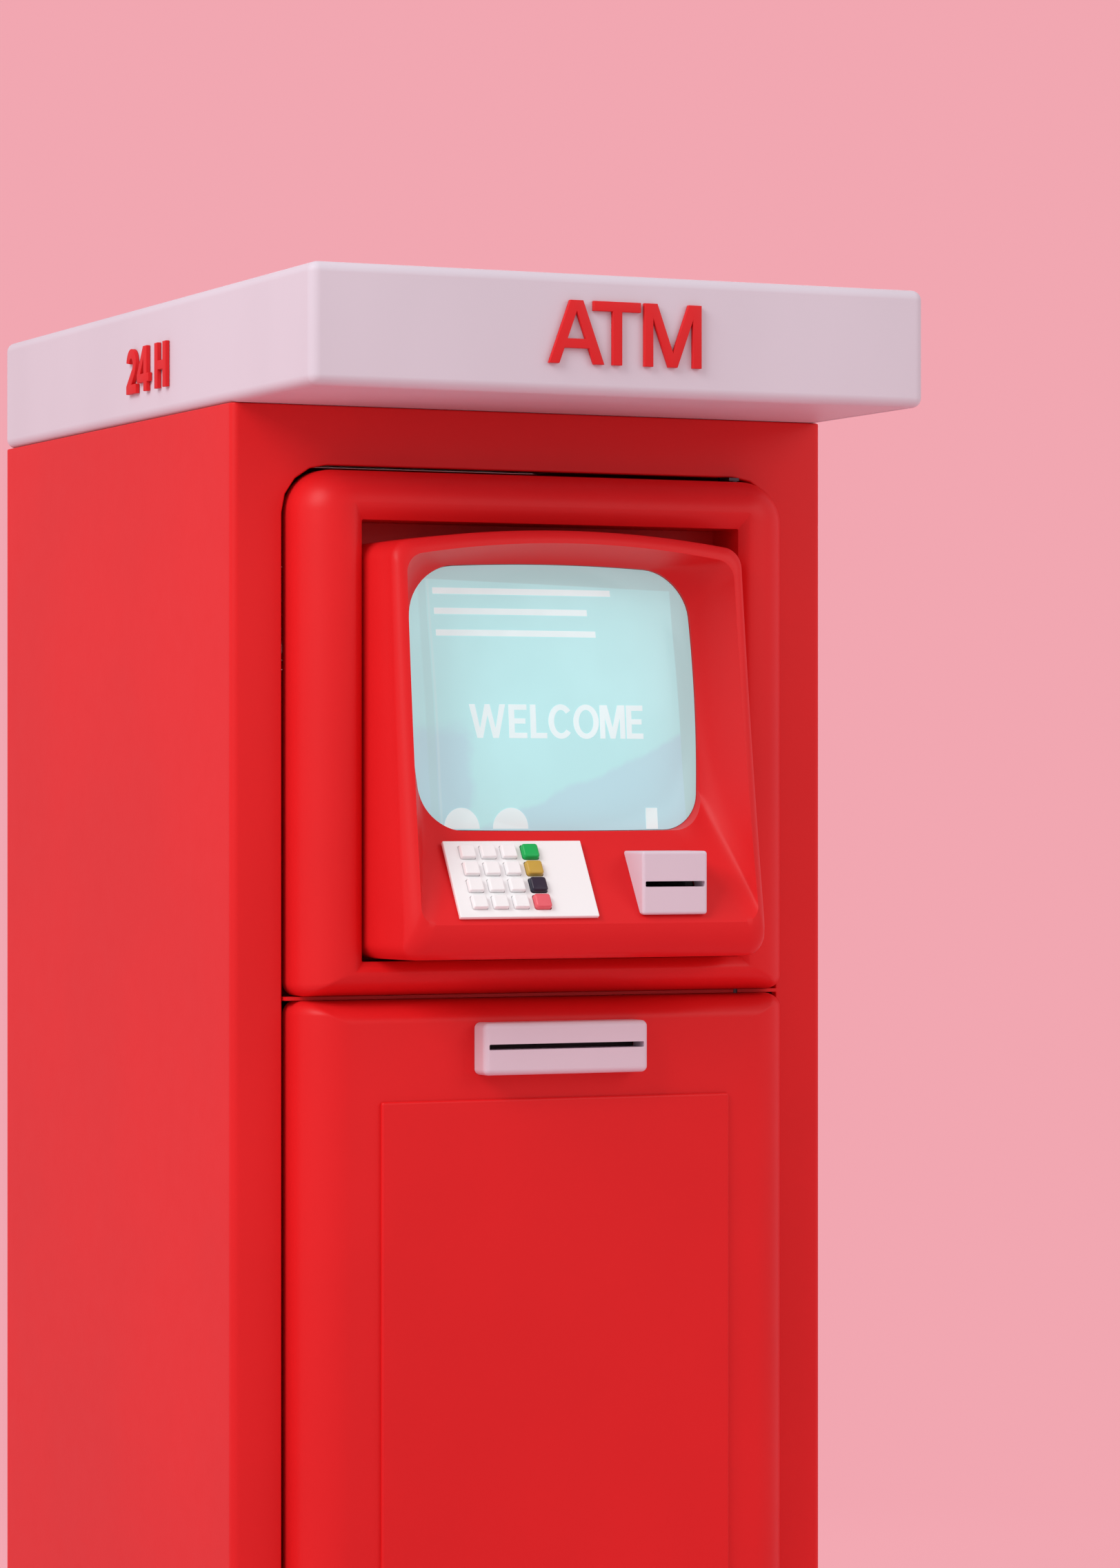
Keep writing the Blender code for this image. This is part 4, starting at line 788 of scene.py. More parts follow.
def dish_row(rim, glass, v, behind):
    """One loop of the dish: the shelf runs the full width low down, and its ends rise with height."""
    row = []
    for (rx, rz), (gx, gz) in zip(rim, glass):
        x, z = rx + (gx - rx) * v, rz + (gz - rz) * v
        edge = glass_face(gz) + GLASS_SET
        wall = edge + (rim_face(rz) - edge) * (1 - v) ** DISH_CURVE
        base = shelf_face(z)
        if z > GLASS_BOTTOM - SHELF_MEETS_GLASS:
            base = max(base, glass_face(z) + GLASS_SET)
        lean = (z - CREASE_Z) / (HOOD_SHOULDER - HOOD_ROUND - CREASE_Z)
        width = HOOD_LOW_HALF + (HOOD_TOP_HALF - HOOD_LOW_HALF) * lean - HOOD_ROUND
        across = max(0.0, (abs(x) - DISH_INNER) / (width - DISH_INNER))
        shelf = base + (rim_face(max(z, CREASE_Z)) - base) * min(1.0, across) ** DISH_CURVE
        low = smooth((DISH_BLEND - z) / DISH_FADE)
        row.append(Vector((x, at(shelf * low + wall * (1 - low) - behind), z)))
    return row


def hood():
    outer, glass = hood_rows(0.0, 0.0, True)
    inner, _ = hood_rows(HOOD_WALL, HOOD_SKIN, False)
    inner[-1] = loop(glass, lambda z: glass_face(z) - GLASS_SET)
    span = KEY_PITCH[0] * 1.5 + KEY_SIZE[0]
    middle = -PLATE[0] / 2 + KEYS_LEFT + KEY_PITCH[0] * 1.5
    tall = PLATE[1] / 2 - 0.004
    window = tilted(block((middle - span, -tall, -0.04), (middle + span, tall, 0.02)))
    way = block(*way_through("card_slot", 0.003, at(0.165), at(0.086), 0.00275))
    bm = drilled(skin(outer + inner[::-1], True), [window, way])
    return stand_in("hood_shell", "hood_moulding", bm, RED)


def crown_face(x, z):
    """How far forward the crowned glass stands at a place."""
    middle = (GLASS_BOTTOM + GLASS_TOP) / 2
    scale = max(abs(x) / GLASS_HALF, abs(z - middle) / ((GLASS_TOP - GLASS_BOTTOM) / 2))
    rounder = ((x / GLASS_HALF) ** 2 + ((z - middle) / CROWN_HALF_TALL) ** 2) ** 0.5
    scale = min(1.0, 0.35 * scale + 0.65 * rounder)
    return glass_face(z) + GLASS_CROWN * (1 - scale * scale)


def screen_glass():
    gap = 0.0005
    points = outline(GLASS_HALF - gap, GLASS_HALF - gap, GLASS_BOTTOM + gap, GLASS_TOP - gap,
                     GLASS_LOW_RADIUS, GLASS_RADIUS, 0, GLASS_BOW)
    middle = (GLASS_BOTTOM + GLASS_TOP) / 2
    rows = [loop(points, lambda z: glass_face(z) - GLASS_THICK)]
    steps = 26
    for k in range(steps):
        scale = 1 - k / steps
        ring = [(x * scale, middle + (z - middle) * scale) for x, z in points]
        rows.append([Vector((x, at(crown_face(x, z)), z)) for x, z in ring])
    return stand_in("screen_glass", "display_glass", skin(rows, False), SCREEN, 40.0)


def door():
    sizes = (MODULE_HALF, DOOR_LOW.z, DOOR_HIGH.z, DOOR_LOW_RADIUS, GROOVE_CORNER,
             FILLET, FILLET, DOOR_TOP_FILLET)
    outer, inner = fillet_loops(*sizes), fillet_loops(*sizes, WALL)
    bm = skin(outer[::-1] + inner, False)
    holes = hinge_holes(DOOR_LOW.z, DOOR_HIGH.z)
    holes.append(block(*way_through("cash_slot", 0.004, at(0.070), at(0.030), 0.00225)))
    holes.append(lock_hole())
    return stand_in("door_skin", "door_moulding", drilled(bm, holes), RED)


def lock_centre():
    return Vector((LOCK_HIGH.x - LOCK_REACH, 0, LOCK_HIGH.z - LOCK_REACH))


def lock_hole():
    c = lock_centre()
    return rod((c.x, at(FACE), c.z), (0, 1, 0), LOCK_HOLE, 0.03, 64)


def trim():
    def front_or_side(edge):
        return all(v.co.y < TRIM_LOW.y + 1e-6 for v in edge.verts) or along_depth(edge)

    bm = rounded(TRIM_LOW, TRIM_HIGH, 0.0028, 5, front_or_side)
    return stand_in("door_panel", "door_raised_panel", drilled(bm, [lock_hole()]), RED, 34.0, True)


def cash_bezel():
    back = CASH_HIGH.y
    bm = rounded(CASH_LOW, CASH_HIGH, 0.006, 8, lambda e: any(v.co.y < back - 1e-6 for v in e.verts))
    ends = way_through("cash_slot", 0.002, CASH_LOW.y - 0.01, back + 0.01, SLOT_EASE)
    hole = rounded(*ends, SLOT_ROUND, 3, along_depth)
    return stand_in("cash_slot_bezel", "cash_slot_moulding", drilled(bm, [hole]), BEZEL, 34.0, True)


def card_bezel():
    x0, x1, face = CARD_LOW.x, CARD_HIGH.x, CARD_LOW.y
    proud = SEAT / cos(TILT)
    side = [(face, CARD_LOW.z), (face, CARD_HIGH.z), (at(shelf_face(CARD_HIGH.z) + proud), CARD_HIGH.z),
            (at(shelf_face(CARD_LOW.z) + proud), CARD_LOW.z)]
    bm = bmesh.new()
    ends = [[bm.verts.new((x, y, z)) for y, z in side] for x in (x0, x1)]
    bm.faces.new(ends[0])
    bm.faces.new(ends[1][::-1])
    for i in range(4):
        j = (i + 1) % 4
        bm.faces.new((ends[0][i], ends[0][j], ends[1][j], ends[1][i]))
    bmesh.ops.recalc_face_normals(bm, faces=bm.faces)
    edges = [e for e in bm.edges if any(abs(v.co.y - face) < 1e-6 for v in e.verts)]
    bmesh.ops.bevel(bm, geom=edges, offset=0.0030, segments=6, profile=0.5, affect="EDGES")
    through = way_through("card_slot", 0.001, face - 0.01, face + 0.09, SLOT_EASE)
    hole = rounded(*through, SLOT_ROUND, 3, along_depth)
    return stand_in("card_reader_bezel", "card_slot_moulding", drilled(bm, [hole]), BEZEL, 34.0, True)


# ---- keypad
def key_places():
    for row in range(4):
        for column in range(4):
            grow = COMMAND_EXTRA / 2 if column == 3 else 0.0
            x = -PLATE[0] / 2 + KEYS_LEFT + KEY_PITCH[0] * column + grow
            y = KEY_PITCH[1] * (1.5 - row) + KEYS_UP
            yield row + 1, column + 1, x, y, KEY_SIZE[0] / 2 + grow, KEY_SIZE[1] / 2 + grow, grow


def flat_loop(half_x, half_y, radius, z, corner=7):
    """A rounded rectangle, flat on the keypad drawing."""
    points = []
    for sx, sy, start in ((1, -1, -90), (1, 1, 0), (-1, 1, 90), (-1, -1, 180)):
        for i in range(corner + 1):
            a = radians(start + 90 * i / corner)
            points.append(Vector((sx * (half_x - radius) + radius * cos(a),
                                  sy * (half_y - radius) + radius * sin(a), z)))
    return points


def cap_rows(w, h, low, top, radius, round_over, soft):
    """Loops up a key cap: straight skirt, drafted side, rounded edge and slightly dished top."""
    rows = [flat_loop(w, h, radius, low), flat_loop(w, h, radius, 0.0004)]
    steps = 7
    for k in range(steps + 1):
        a = radians(90 * k / steps)
        inward = round_over * (1 - cos(a)) + 0.0003
        rows.append(flat_loop(w - inward, h - inward, max(radius - inward * 0.7, 0.0006),
                              top - round_over * (1 - sin(a))))
    for k in range(1, 5):
        t = 1 - k / 5
        inner = round_over + 0.0003
        rows.append(flat_loop((w - inner) * t, (h - inner) * t, max(radius - inner * 0.7, 0.0006) * t,
                              top - soft * (1 - t * t)))
    return rows


def keypad():
    wide, tall, thick = PLATE
    plate = rounded((-wide / 2, -tall / 2, -thick), (wide / 2, tall / 2, 0), 0.0010, 4)
    holes = bmesh.new()
    for _, _, x, y, w, h, grow in key_places():
        hole = skin([flat_loop(w + 0.0005, h + 0.0005, 0.0019 + grow, z) for z in (-0.02, 0.02)], False)
        bmesh.ops.translate(hole, vec=(x, y, 0), verts=hole.verts)
        merge(holes, hole)
    cover = tilted(drilled(plate, [holes]))
    stand_in("keypad_plate", "keypad_cover", cover, WHITE, 34.0, True)
    for row, column, x, y, w, h, grow in key_places():
        name = f"key_{row}_{column}"
        command = column == 4
        shape = COMMAND_SHAPE if command else PLAIN_SHAPE
        rows = cap_rows(w, h, -thick - 0.001, KEY_SIZE[2] + grow, *shape)
        bm = skin([[p + Vector((x, y, 0)) for p in r] for r in rows], False)
        paint = KEY_PAINTS[row] if command else WHITE
        stand_in(name, f"{name}_cap", tilted(bm), paint, 50.0)


# ---- letters
def arc(cx, cz, rx, rz, start, end, steps=18):
    return [(cx + rx * cos(radians(start + (end - start) * i / steps)),
             cz + rz * sin(radians(start + (end - start) * i / steps))) for i in range(steps + 1)]


LETTERS = {
        "A": [[(0, 0), (11.8, 0), (17.2, 14.2), (41.8, 14.2), (47.2, 0), (59, 0), (36.6, 59), (22.4,
          59)], [(20.9, 24), (38.1, 24), (29.5, 46.6)]],
        "T": [[(0, 59), (0, 48.8), (19.9, 48.8), (19.9, 0), (30.9, 0), (30.9, 48.8), (50.6, 48.8),
          (50.6, 59)]],
        "M": [[(0, 0), (0, 59), (14.5, 59), (30.75, 15.5), (47, 59), (61.5, 59), (61.5, 0), (51.2,
          0), (51.2, 41), (35.7, 0), (25.8, 0), (10.3, 41), (10.3, 0)]],
        "2": [arc(17.5, 30.5, 16.5, 16.5, 172, -38) + [(18.6, 9.8), (34.5, 9.8), (34.5, 0), (0.6,
          0), (0.6, 8.6)] + arc(17.5, 30.5, 6.3, 6.3, -38, 172)],
        "4": [[(23, 0), (33.6, 0), (33.6, 9.6), (40, 9.6), (40, 18.6), (33.6, 18.6), (33.6, 47),
          (21.4, 47), (0, 18.2), (0, 9.6), (23, 9.6)], [(23, 18.6), (23, 34.6), (11.4, 18.6)]],
        "H": [[(0, 0), (10.8, 0), (10.8, 18.8), (28.4, 18.8), (28.4, 0), (39.2, 0), (39.2, 47),
          (28.4, 47), (28.4, 28.2), (10.8, 28.2), (10.8, 47), (0, 47)]],
        "W": [[(0, 33), (6, 33), (10.6, 9.5), (16, 33), (21.2, 33), (26.6, 9.5), (31.2, 33), (37.2,
          33), (29.6, 0), (23.8, 0), (18.6, 22.5), (13.4, 0), (7.6, 0)]],
        "E": [[(0, 0), (19, 0), (19, 5.4), (6, 5.4), (6, 14.2), (17.4, 14.2), (17.4, 19.4), (6,
          19.4), (6, 27.6), (19, 27.6), (19, 33), (0, 33)]],
        "L": [[(0, 0), (17.6, 0), (17.6, 5.4), (6, 5.4), (6, 33), (0, 33)]],
        "C": [arc(13.5, 16.5, 13.5, 17.0, 40, 320, 30) + arc(13.5, 16.5, 7.4, 11.4, 318, 42, 30)],
        "O": [arc(14, 16.5, 14, 17.0, 0, 348, 29), arc(14, 16.5, 8, 11.6, 0, 348, 29)],
        "m": [[(0, 0), (0, 33), (8.2, 33), (14, 11), (19.8, 33), (28, 33), (28, 0), (22.4, 0),
          (22.4, 20.5), (16.6, 0), (11.4, 0), (5.6, 20.5), (5.6, 0)]],
}


def lettering(word, starts, depth, edge, slim=0.0):
    """Flat characters in millimetres of drawing, as a solid in metres (x right, y up, z off)."""
    curve = bpy.data.curves.new("lettering", "CURVE")
    curve.dimensions = "2D"
    curve.fill_mode = "BOTH"
    curve.extrude = depth / 2
    curve.bevel_depth = edge
    curve.offset = -edge - slim
    curve.bevel_resolution = 2
    for letter, start in zip(word, starts):
        for points in LETTERS[letter]:
            line = curve.splines.new("POLY")
            line.points.add(len(points) - 1)
            for point, (x, z) in zip(line.points, points):
                point.co = ((x + start) / 1000, z / 1000, 0, 1)
            line.use_cyclic_u = True
    drawn = linked("lettering", curve)
    mesh = evaluated(drawn)
    bpy.data.objects.remove(drawn, do_unlink=True)
    bm = bmesh.new()
    bm.from_mesh(mesh)
    bmesh.ops.remove_doubles(bm, verts=bm.verts, dist=1e-7)
    return bm


def signs():
    """Raised characters on the front and the left of the canopy."""
    stand = Matrix.Rotation(pi / 2, 4, "X")
    across = stand @ Matrix.Diagonal((1, 1.04, 1, 1))
    along = Matrix.Rotation(-pi / 2, 4, "Z") @ stand @ Matrix.Diagonal((0.84, 0.97, 1, 1))
    front, side = SIGN_PROUD / 2 + SEAT, SIDE_SIGN_PROUD / 2 + SEAT
    words = (("front_letters", "ATM", (-0.6, 46.0, 99.3), SIGN_PROUD, 0.0006,
              (-0.0832, CANOPY_LOW.y - front, CANOPY_LOW.z + 0.0280), across),
             ("side_letters", "24H", (0, 38.6, 100.0), SIDE_SIGN_PROUD, 0.0,
              (CANOPY_LOW.x - side, FRONT + 0.2830, CANOPY_LOW.z + 0.0275), along))
    for name, word, starts, proud, slim, place, turn in words:
        bm = lettering(word, starts, proud - 2 * SIGN_EDGE, SIGN_EDGE, slim)
        bmesh.ops.transform(bm, matrix=Matrix.Translation(place) @ turn, verts=bm.verts)
        bmesh.ops.recalc_face_normals(bm, faces=bm.faces)
        piece(name, bm, SIGN_RED, "cabinet", slot_of("cabinet_shell"), (), 30.0)


def graphics():
    """What the display shows: a word, three lines, two discs and a bar, each lying on the glass."""
    word = lettering("WELCOmE", WELCOME_STARTS, 0.0, 0.0)
    bmesh.ops.translate(word, vec=(0, WELCOME_Z, 0), verts=word.verts)
    shapes = [word]
    for x0, x1, z0, z1 in BARS:
        shapes.append(flat_shape([(x0, z0), (x1, z0), (x1, z1), (x0, z1)]))
    for cx in DISC_CENTRES:
        shapes.append(flat_shape(arc(cx, *DISC, 0, 180, 24)))
    bm = bmesh.new()
    for shape in shapes:
        bmesh.ops.triangulate(shape, faces=shape.faces)
        for _ in range(6):
            long = [e for e in shape.edges if e.calc_length() > GRAPHIC_EDGE]
            if not long:
                break
            bmesh.ops.subdivide_edges(shape, edges=long, cuts=1)
            bmesh.ops.triangulate(shape, faces=[f for f in shape.faces if len(f.verts) > 3])
        merge(bm, shape)
    base = list(bm.faces)
    for vert in bm.verts:
        x, z = vert.co.x, vert.co.y
        vert.co = Vector((x, at(crown_face(x, z) + GRAPHIC_STAND), z))
    back = bmesh.ops.duplicate(bm, geom=base + list(bm.verts) + list(bm.edges))
    for element in back["geom"]:
        if isinstance(element, bmesh.types.BMVert):
            element.co.y += GRAPHIC_THICK
    rims = [e for e in bm.edges if e.is_boundary]
    twins = {}
    for vert in bm.verts:
        twins.setdefault((round(vert.co.x, 6), round(vert.co.z, 6)), []).append(vert)
    for edge in rims:
        behind = []
        for end in edge.verts:
            pair = twins[(round(end.co.x, 6), round(end.co.z, 6))]
            behind.append([v for v in pair if v.co.y > end.co.y])
        if all(behind):
            bm.faces.new((*edge.verts, behind[1][0], behind[0][0]))
    bmesh.ops.recalc_face_normals(bm, faces=bm.faces)
    piece("display_graphics", bm, INK, "upper_panel", slot_of("screen_glass"), (), 30.0)


def flat_shape(points):
    bm = bmesh.new()
    bm.faces.new([bm.verts.new((x, z, 0)) for x, z in points])
    return bm


# ---- cabinet and canopy
def canopy():
    bm = block(CANOPY_LOW, CANOPY_HIGH)
    low, high = OPENINGS["canopy_hollow"]
    hollow = block(low - Vector((0.0085, 0.0085, 0.02)), high + Vector((0.0085, 0.0085, 0.0038)))
    bmesh.ops.bevel(bm, geom=list(bm.edges), offset=0.010, segments=8, profile=0.5, affect="EDGES")
    stand_in("canopy_shell", "canopy_moulding", drilled(bm, [hollow]), PALE, 34.0, True)


def cabinet():
    """CAD pieces kept as they are but for their edges: node, finish, edge radius, segments."""
    for row in (("cabinet_shell", RED, 0.0016, 3), ("canopy_soffit", PALE, 0.0008),
                ("plinth", PLINTH, 0.0012), ("rear_panel", RED, 0.0007), ("centre_rail", RED, 0.0004),
                ("floor_plate", ZINC, 0.0010), ("divider_shelf", ZINC, 0.0008),
                ("safe_body", CASE, 0.0015, 3), ("cassette_rack", ZINC, 0.0008),
                ("note_transport", CASE, 0.0008), ("controller_box", CASE, 0.0010),
                ("power_supply", ZINC, 0.0008), ("door_slab", ZINC, 0.0010),
                ("hood_back", BLACK, 0.0010), ("keypad_base", BLACK, 0.0010),
                ("card_reader_body", CASE, 0.0008), ("power_inlet", BLACK, 0.0006),
                ("fan_frame", BLACK, 0.0006), ("fan_rotor", BLACK, 0.0003),
                ("cash_shutter", BLACK, 0.0004), ("top_hinge_lug", BLUED, 0.0003),
                ("bottom_hinge_lug", BLUED, 0.0003)):
        eased(*row)
    for number in (1, 2, 3):
        eased(f"cash_cassette_{number}", BLACK, 0.0020, 3)
    tube = frame["nodes"]["picture_tube"]
    tube.data.materials.clear()
    tube.data.materials.append(BLACK)


def round_parts():
    """Feet, rollers, pin and lock, turned smooth."""
    for number in range(1, 5):
        node = f"levelling_foot_{number}"
        lo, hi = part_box(node)
        c = (lo + hi) / 2
        r, tall = (hi.x - lo.x) / 2, hi.z - lo.z
        stem, top = 0.0083, 0.0120
        profile = [(0, 0), (r - 0.0012, 0), (r, 0.0012), (r, 0.0066), (r - 0.0008, 0.0076),
                   (r * 0.8, 0.0112), (r * 0.76, top), (stem, top), (stem, tall), (0, tall)]
        stand_in(node, f"foot_{number}", turned(profile, (c.x, c.y, lo.z), (0, 0, 1)), RUBBER, 36.0)
    lo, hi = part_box("centre_hinge_pin")
    c = (lo + hi) / 2
    r, half = (hi.x - lo.x) / 2, (hi.z - lo.z) / 2
    ease = 0.0004
    profile = [(0, -half), (r - ease, -half), (r, ease - half), (r, half - ease), (r - ease, half),
               (0, half)]
    stand_in("centre_hinge_pin", "hinge_pin", turned(profile, c, (0, 0, 1), 40), BLUED, 36.0)
    roller("feed_roller", RUBBER, 9)
    roller("pinch_roller", STEEL, 9)
    roller("card_roller", RUBBER, 3)
    lock()


def roller(node, paint, ribs):
    """A roller with tyres along its shaft."""
    lo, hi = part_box(node)
    c = (lo + hi) / 2
    r, half = (hi.z - lo.z) / 2, (hi.x - lo.x) / 2
    shaft = r * 0.62
    profile = [(0, -half), (shaft, -half)]
    pitch, ease = 2 * half / ribs, 0.0006
    gap = pitch * 0.12
    for k in range(ribs):
        a, b = -half + k * pitch + gap, -half + (k + 1) * pitch - gap
        profile += [(shaft, a), (r - ease, a), (r, a + ease), (r, b - ease), (r - ease, b), (shaft, b)]
    profile += [(shaft, half), (0, half)]
    stand_in(node, f"{node}_tyres", turned(profile, c, (1, 0, 0), 48), paint, 36.0)


def lock():
    """A lock barrel with its keyway, and the bolt on its inner end."""
    c = lock_centre()
    head, tail = LOCK_LOW.y, LOCK_HIGH.y
    length = tail - head
    barrel, neck, ease = 0.0060, 0.014, 0.0003
    profile = [(0, 0), (0.0030, 0), (0.0034, ease), (0.0086, ease), (0.0094, 0.0007), (LOCK_REACH, 0.0016),
               (LOCK_REACH, neck), (barrel, neck), (barrel, length - ease), (barrel - ease, length),
               (0, length)]
    bm = turned(profile, (c.x, head, c.z), (0, 1, 0), 72)
    way = block((c.x - 0.0008, head - 0.01, c.z - 0.0042), (c.x + 0.0008, head + 0.006, c.z + 0.0042))
    bm = drilled(bm, [way])

    def lower_side(edge):
        return along_depth(edge) and edge.verts[0].co.z < LOCK_LOW.z + 0.001

    low = (c.x - barrel, tail - 0.004, LOCK_LOW.z)
    merge(bm, rounded(low, (c.x + barrel, tail - 0.0002, c.z), 0.0012, 3, lower_side))
    stand_in("door_lock", "lock_barrel", bm, STEEL, 36.0)


# ---- repeated details, by Geometry Nodes
class Pattern:
    """A Geometry Nodes tree with named sizes, run once and kept as a plain mesh."""

    def __init__(self, name, sizes):
        self.tree = bpy.data.node_groups.new(name, "GeometryNodeTree")
        self.tree.interface.new_socket("Geometry", in_out="INPUT", socket_type="NodeSocketGeometry")
        self.tree.interface.new_socket("Geometry", in_out="OUTPUT", socket_type="NodeSocketGeometry")
        kinds = {int: "NodeSocketInt", float: "NodeSocketFloat", tuple: "NodeSocketVector"}
        for label, value in sizes.items():
            kind = kinds.get(type(value), "NodeSocketMaterial")
            self.tree.interface.new_socket(label, in_out="INPUT", socket_type=kind)
        self.inputs = self.tree.nodes.new("NodeGroupInput").outputs
        self.sizes = sizes

    def feed(self, socket, value):
        if isinstance(value, bpy.types.NodeSocket):
            self.tree.links.new(value, socket)
        else:
            socket.default_value = value

    def node(self, kind, **sockets):
        made = self.tree.nodes.new(kind)
        for name, value in sockets.items():
            self.feed(made.inputs[name.replace("_", " ")], value)
        return made.outputs

    def geo(self, kind, **sockets):
        return self.node("GeometryNode" + kind, **sockets)

    def vector(self, **axes):
        return self.node("ShaderNodeCombineXYZ", **axes)["Vector"]

    def maths(self, operation, first, second):
        made = self.tree.nodes.new("ShaderNodeMath")
        made.operation = operation
        for socket, value in zip(made.inputs, (first, second)):
            self.feed(socket, value)
        return made.outputs[0]

    def finish(self, geometry):
        real = self.geo("RealizeInstances", Geometry=geometry)["Geometry"]
        done = self.geo("SetMaterial", Geometry=real, Material=self.inputs["Finish"])["Geometry"]
        self.tree.links.new(done, self.tree.nodes.new("NodeGroupOutput").inputs[0])

    def run(self, name, start, paint, body, slot, matrix=None, crease=36.0):
        """Run the tree on a start mesh and keep the outcome as one piece."""
        mesh = bpy.data.meshes.new(name)
        mesh.from_pydata(start, [], [])
        carrier = linked(name + "_carrier", mesh)
        modifier = carrier.modifiers.new("pattern", "NODES")
        modifier.node_group = self.tree
        for item in self.tree.interface.items_tree:
            if item.in_out == "INPUT" and item.name in self.sizes:
                value = paint if item.name == "Finish" else self.sizes[item.name]
                modifier[item.identifier] = value
        carrier.update_tag()
        made = evaluated(carrier)
        carrier.modifiers.clear()
        bpy.data.objects.remove(carrier, do_unlink=True)
        if matrix is not None:
            made.transform(matrix)
        return settle(name, made, paint, body, (), crease)


def screw_pattern(radius, height):
    """A chamfered pan head with a cross recess on every point, standing along local +Z."""
    p = Pattern("screw_heads", {"Head radius": radius, "Head height": height, "Recess width": radius * 0.26,
                                "Recess length": radius * 1.15, "Finish": BRIGHT})
    g = p.inputs
    head = p.geo("MeshCone", Vertices=28, Radius_Top=p.maths("MULTIPLY", g["Head radius"], 0.72),
                  Radius_Bottom=g["Head radius"], Depth=g["Head height"], Side_Segments=3)["Mesh"]
    bars = p.geo("JoinGeometry")
    join = bars[0].node
    for swap in (False, True):
        size = p.vector(X=g["Recess length"] if swap else g["Recess width"],
                      Y=g["Recess width"] if swap else g["Recess length"], Z=g["Head height"])
        bar = p.geo("MeshCube", Size=size)["Mesh"]
        lift = p.vector(Z=p.maths("MULTIPLY", g["Head height"], 1.05))
        moved = p.geo("Transform", Geometry=bar, Translation=lift)["Geometry"]
        p.tree.links.new(moved, join.inputs[0])
    carved = p.tree.nodes.new("GeometryNodeMeshBoolean")
    carved.operation = "DIFFERENCE"
    p.tree.links.new(head, carved.inputs["Mesh 1"])
    p.tree.links.new(bars[0], carved.inputs["Mesh 2"])
    spots = p.geo("MeshToPoints", Mesh=g["Geometry"])["Points"]
    p.finish(p.geo("InstanceOnPoints", Points=spots, Instance=carved.outputs["Mesh"])["Instances"])
    return p


def bar_pattern(name, count, step, size, turn):
    """Equal bars in a row: louvres, ribs or slats."""
    p = Pattern(name, {"Count": count, "Step": step, "Bar size": size, "Bar turn": turn, "Finish": BLACK})
    g = p.inputs
    row = p.geo("MeshLine", Count=g["Count"], Offset=g["Step"])["Mesh"]
    bar = p.geo("MeshCube", Size=g["Bar size"], Vertices_X=2, Vertices_Y=2, Vertices_Z=2)["Mesh"]
    placed = p.geo("InstanceOnPoints", Points=row, Instance=bar)["Instances"]
    spun = p.geo("RotateInstances", Instances=placed, Rotation=g["Bar turn"])["Instances"]
    p.finish(spun)
    return p


def guard_pattern(rings, inner, pitch, wire, spokes):
    """A wire finger guard: concentric rings and radial spokes, drawn flat."""
    p = Pattern("finger_guard", {"Rings": rings, "Inner radius": inner, "Ring pitch": pitch,
                                 "Wire radius": wire, "Spokes": spokes, "Finish": BRIGHT})
    g = p.inputs
    line = p.geo("MeshLine", Count=g["Rings"], Offset=(0.0, 0.0, 0.0))["Mesh"]
    index = p.geo("InputIndex")[0]
    radius = p.maths("ADD", g["Inner radius"], p.maths("MULTIPLY", g["Ring pitch"], index))
    scale = p.vector(X=radius, Y=radius, Z=1.0)
    ring = p.geo("CurvePrimitiveCircle", Resolution=56, Radius=1.0)["Curve"]
    ringed = p.geo("InstanceOnPoints", Points=line, Instance=ring, Scale=scale)["Instances"]
    rings_real = p.geo("RealizeInstances", Geometry=ringed)["Geometry"]
    gaps = p.maths("SUBTRACT", g["Rings"], 1)
    last = p.maths("ADD", g["Inner radius"], p.maths("MULTIPLY", g["Ring pitch"], gaps))
    first = p.maths("MULTIPLY", g["Inner radius"], 0.98)
    start = p.vector(X=first, Z=g["Wire radius"])
    end = p.vector(X=last, Z=g["Wire radius"])
    spoke = p.geo("CurvePrimitiveLine", Start=start, End=end)["Curve"]
    fan = p.geo("MeshLine", Count=g["Spokes"], Offset=(0.0, 0.0, 0.0))["Mesh"]
    step = p.maths("DIVIDE", 2 * pi, g["Spokes"])
    angle = p.vector(Z=p.maths("MULTIPLY", index, step))
    spun = p.geo("InstanceOnPoints", Points=fan, Instance=spoke, Rotation=angle)["Instances"]
    spokes_real = p.geo("RealizeInstances", Geometry=spun)["Geometry"]
    both = p.tree.nodes.new("GeometryNodeJoinGeometry")
    p.tree.links.new(rings_real, both.inputs[0])
    p.tree.links.new(spokes_real, both.inputs[0])
    section = p.geo("CurvePrimitiveCircle", Resolution=8, Radius=g["Wire radius"])["Curve"]
    wires = p.geo("CurveToMesh", Curve=both.outputs[0], Profile_Curve=section, Fill_Caps=True)["Mesh"]
    p.finish(wires)
    return p


def fasteners():
    """Screws round the rear panel."""
    steel = slot_of("door_lock")
    radius, height, rows = 0.0042, 0.0018, 7
    small = screw_pattern(radius, height)
    half, first = REAR_HIGH.x - 0.014, REAR_LOW.z + 0.03
    pitch = (REAR_HIGH.z - REAR_LOW.z - 0.06) / (rows - 1)
    spots = [(side * half, -(first + k * pitch), 0) for side in (-1, 1) for k in range(rows)]
    spots += [(x, -z, 0) for z in (REAR_HIGH.z - 0.012, REAR_LOW.z + 0.012) for x in (-0.18, 0.0, 0.18)]
    face = Matrix.Translation((0, REAR_HIGH.y + height / 2, 0)) @ Matrix.Rotation(-pi / 2, 4, "X")
    small.run("rear_screws", spots, BRIGHT, "cabinet", steel, face)


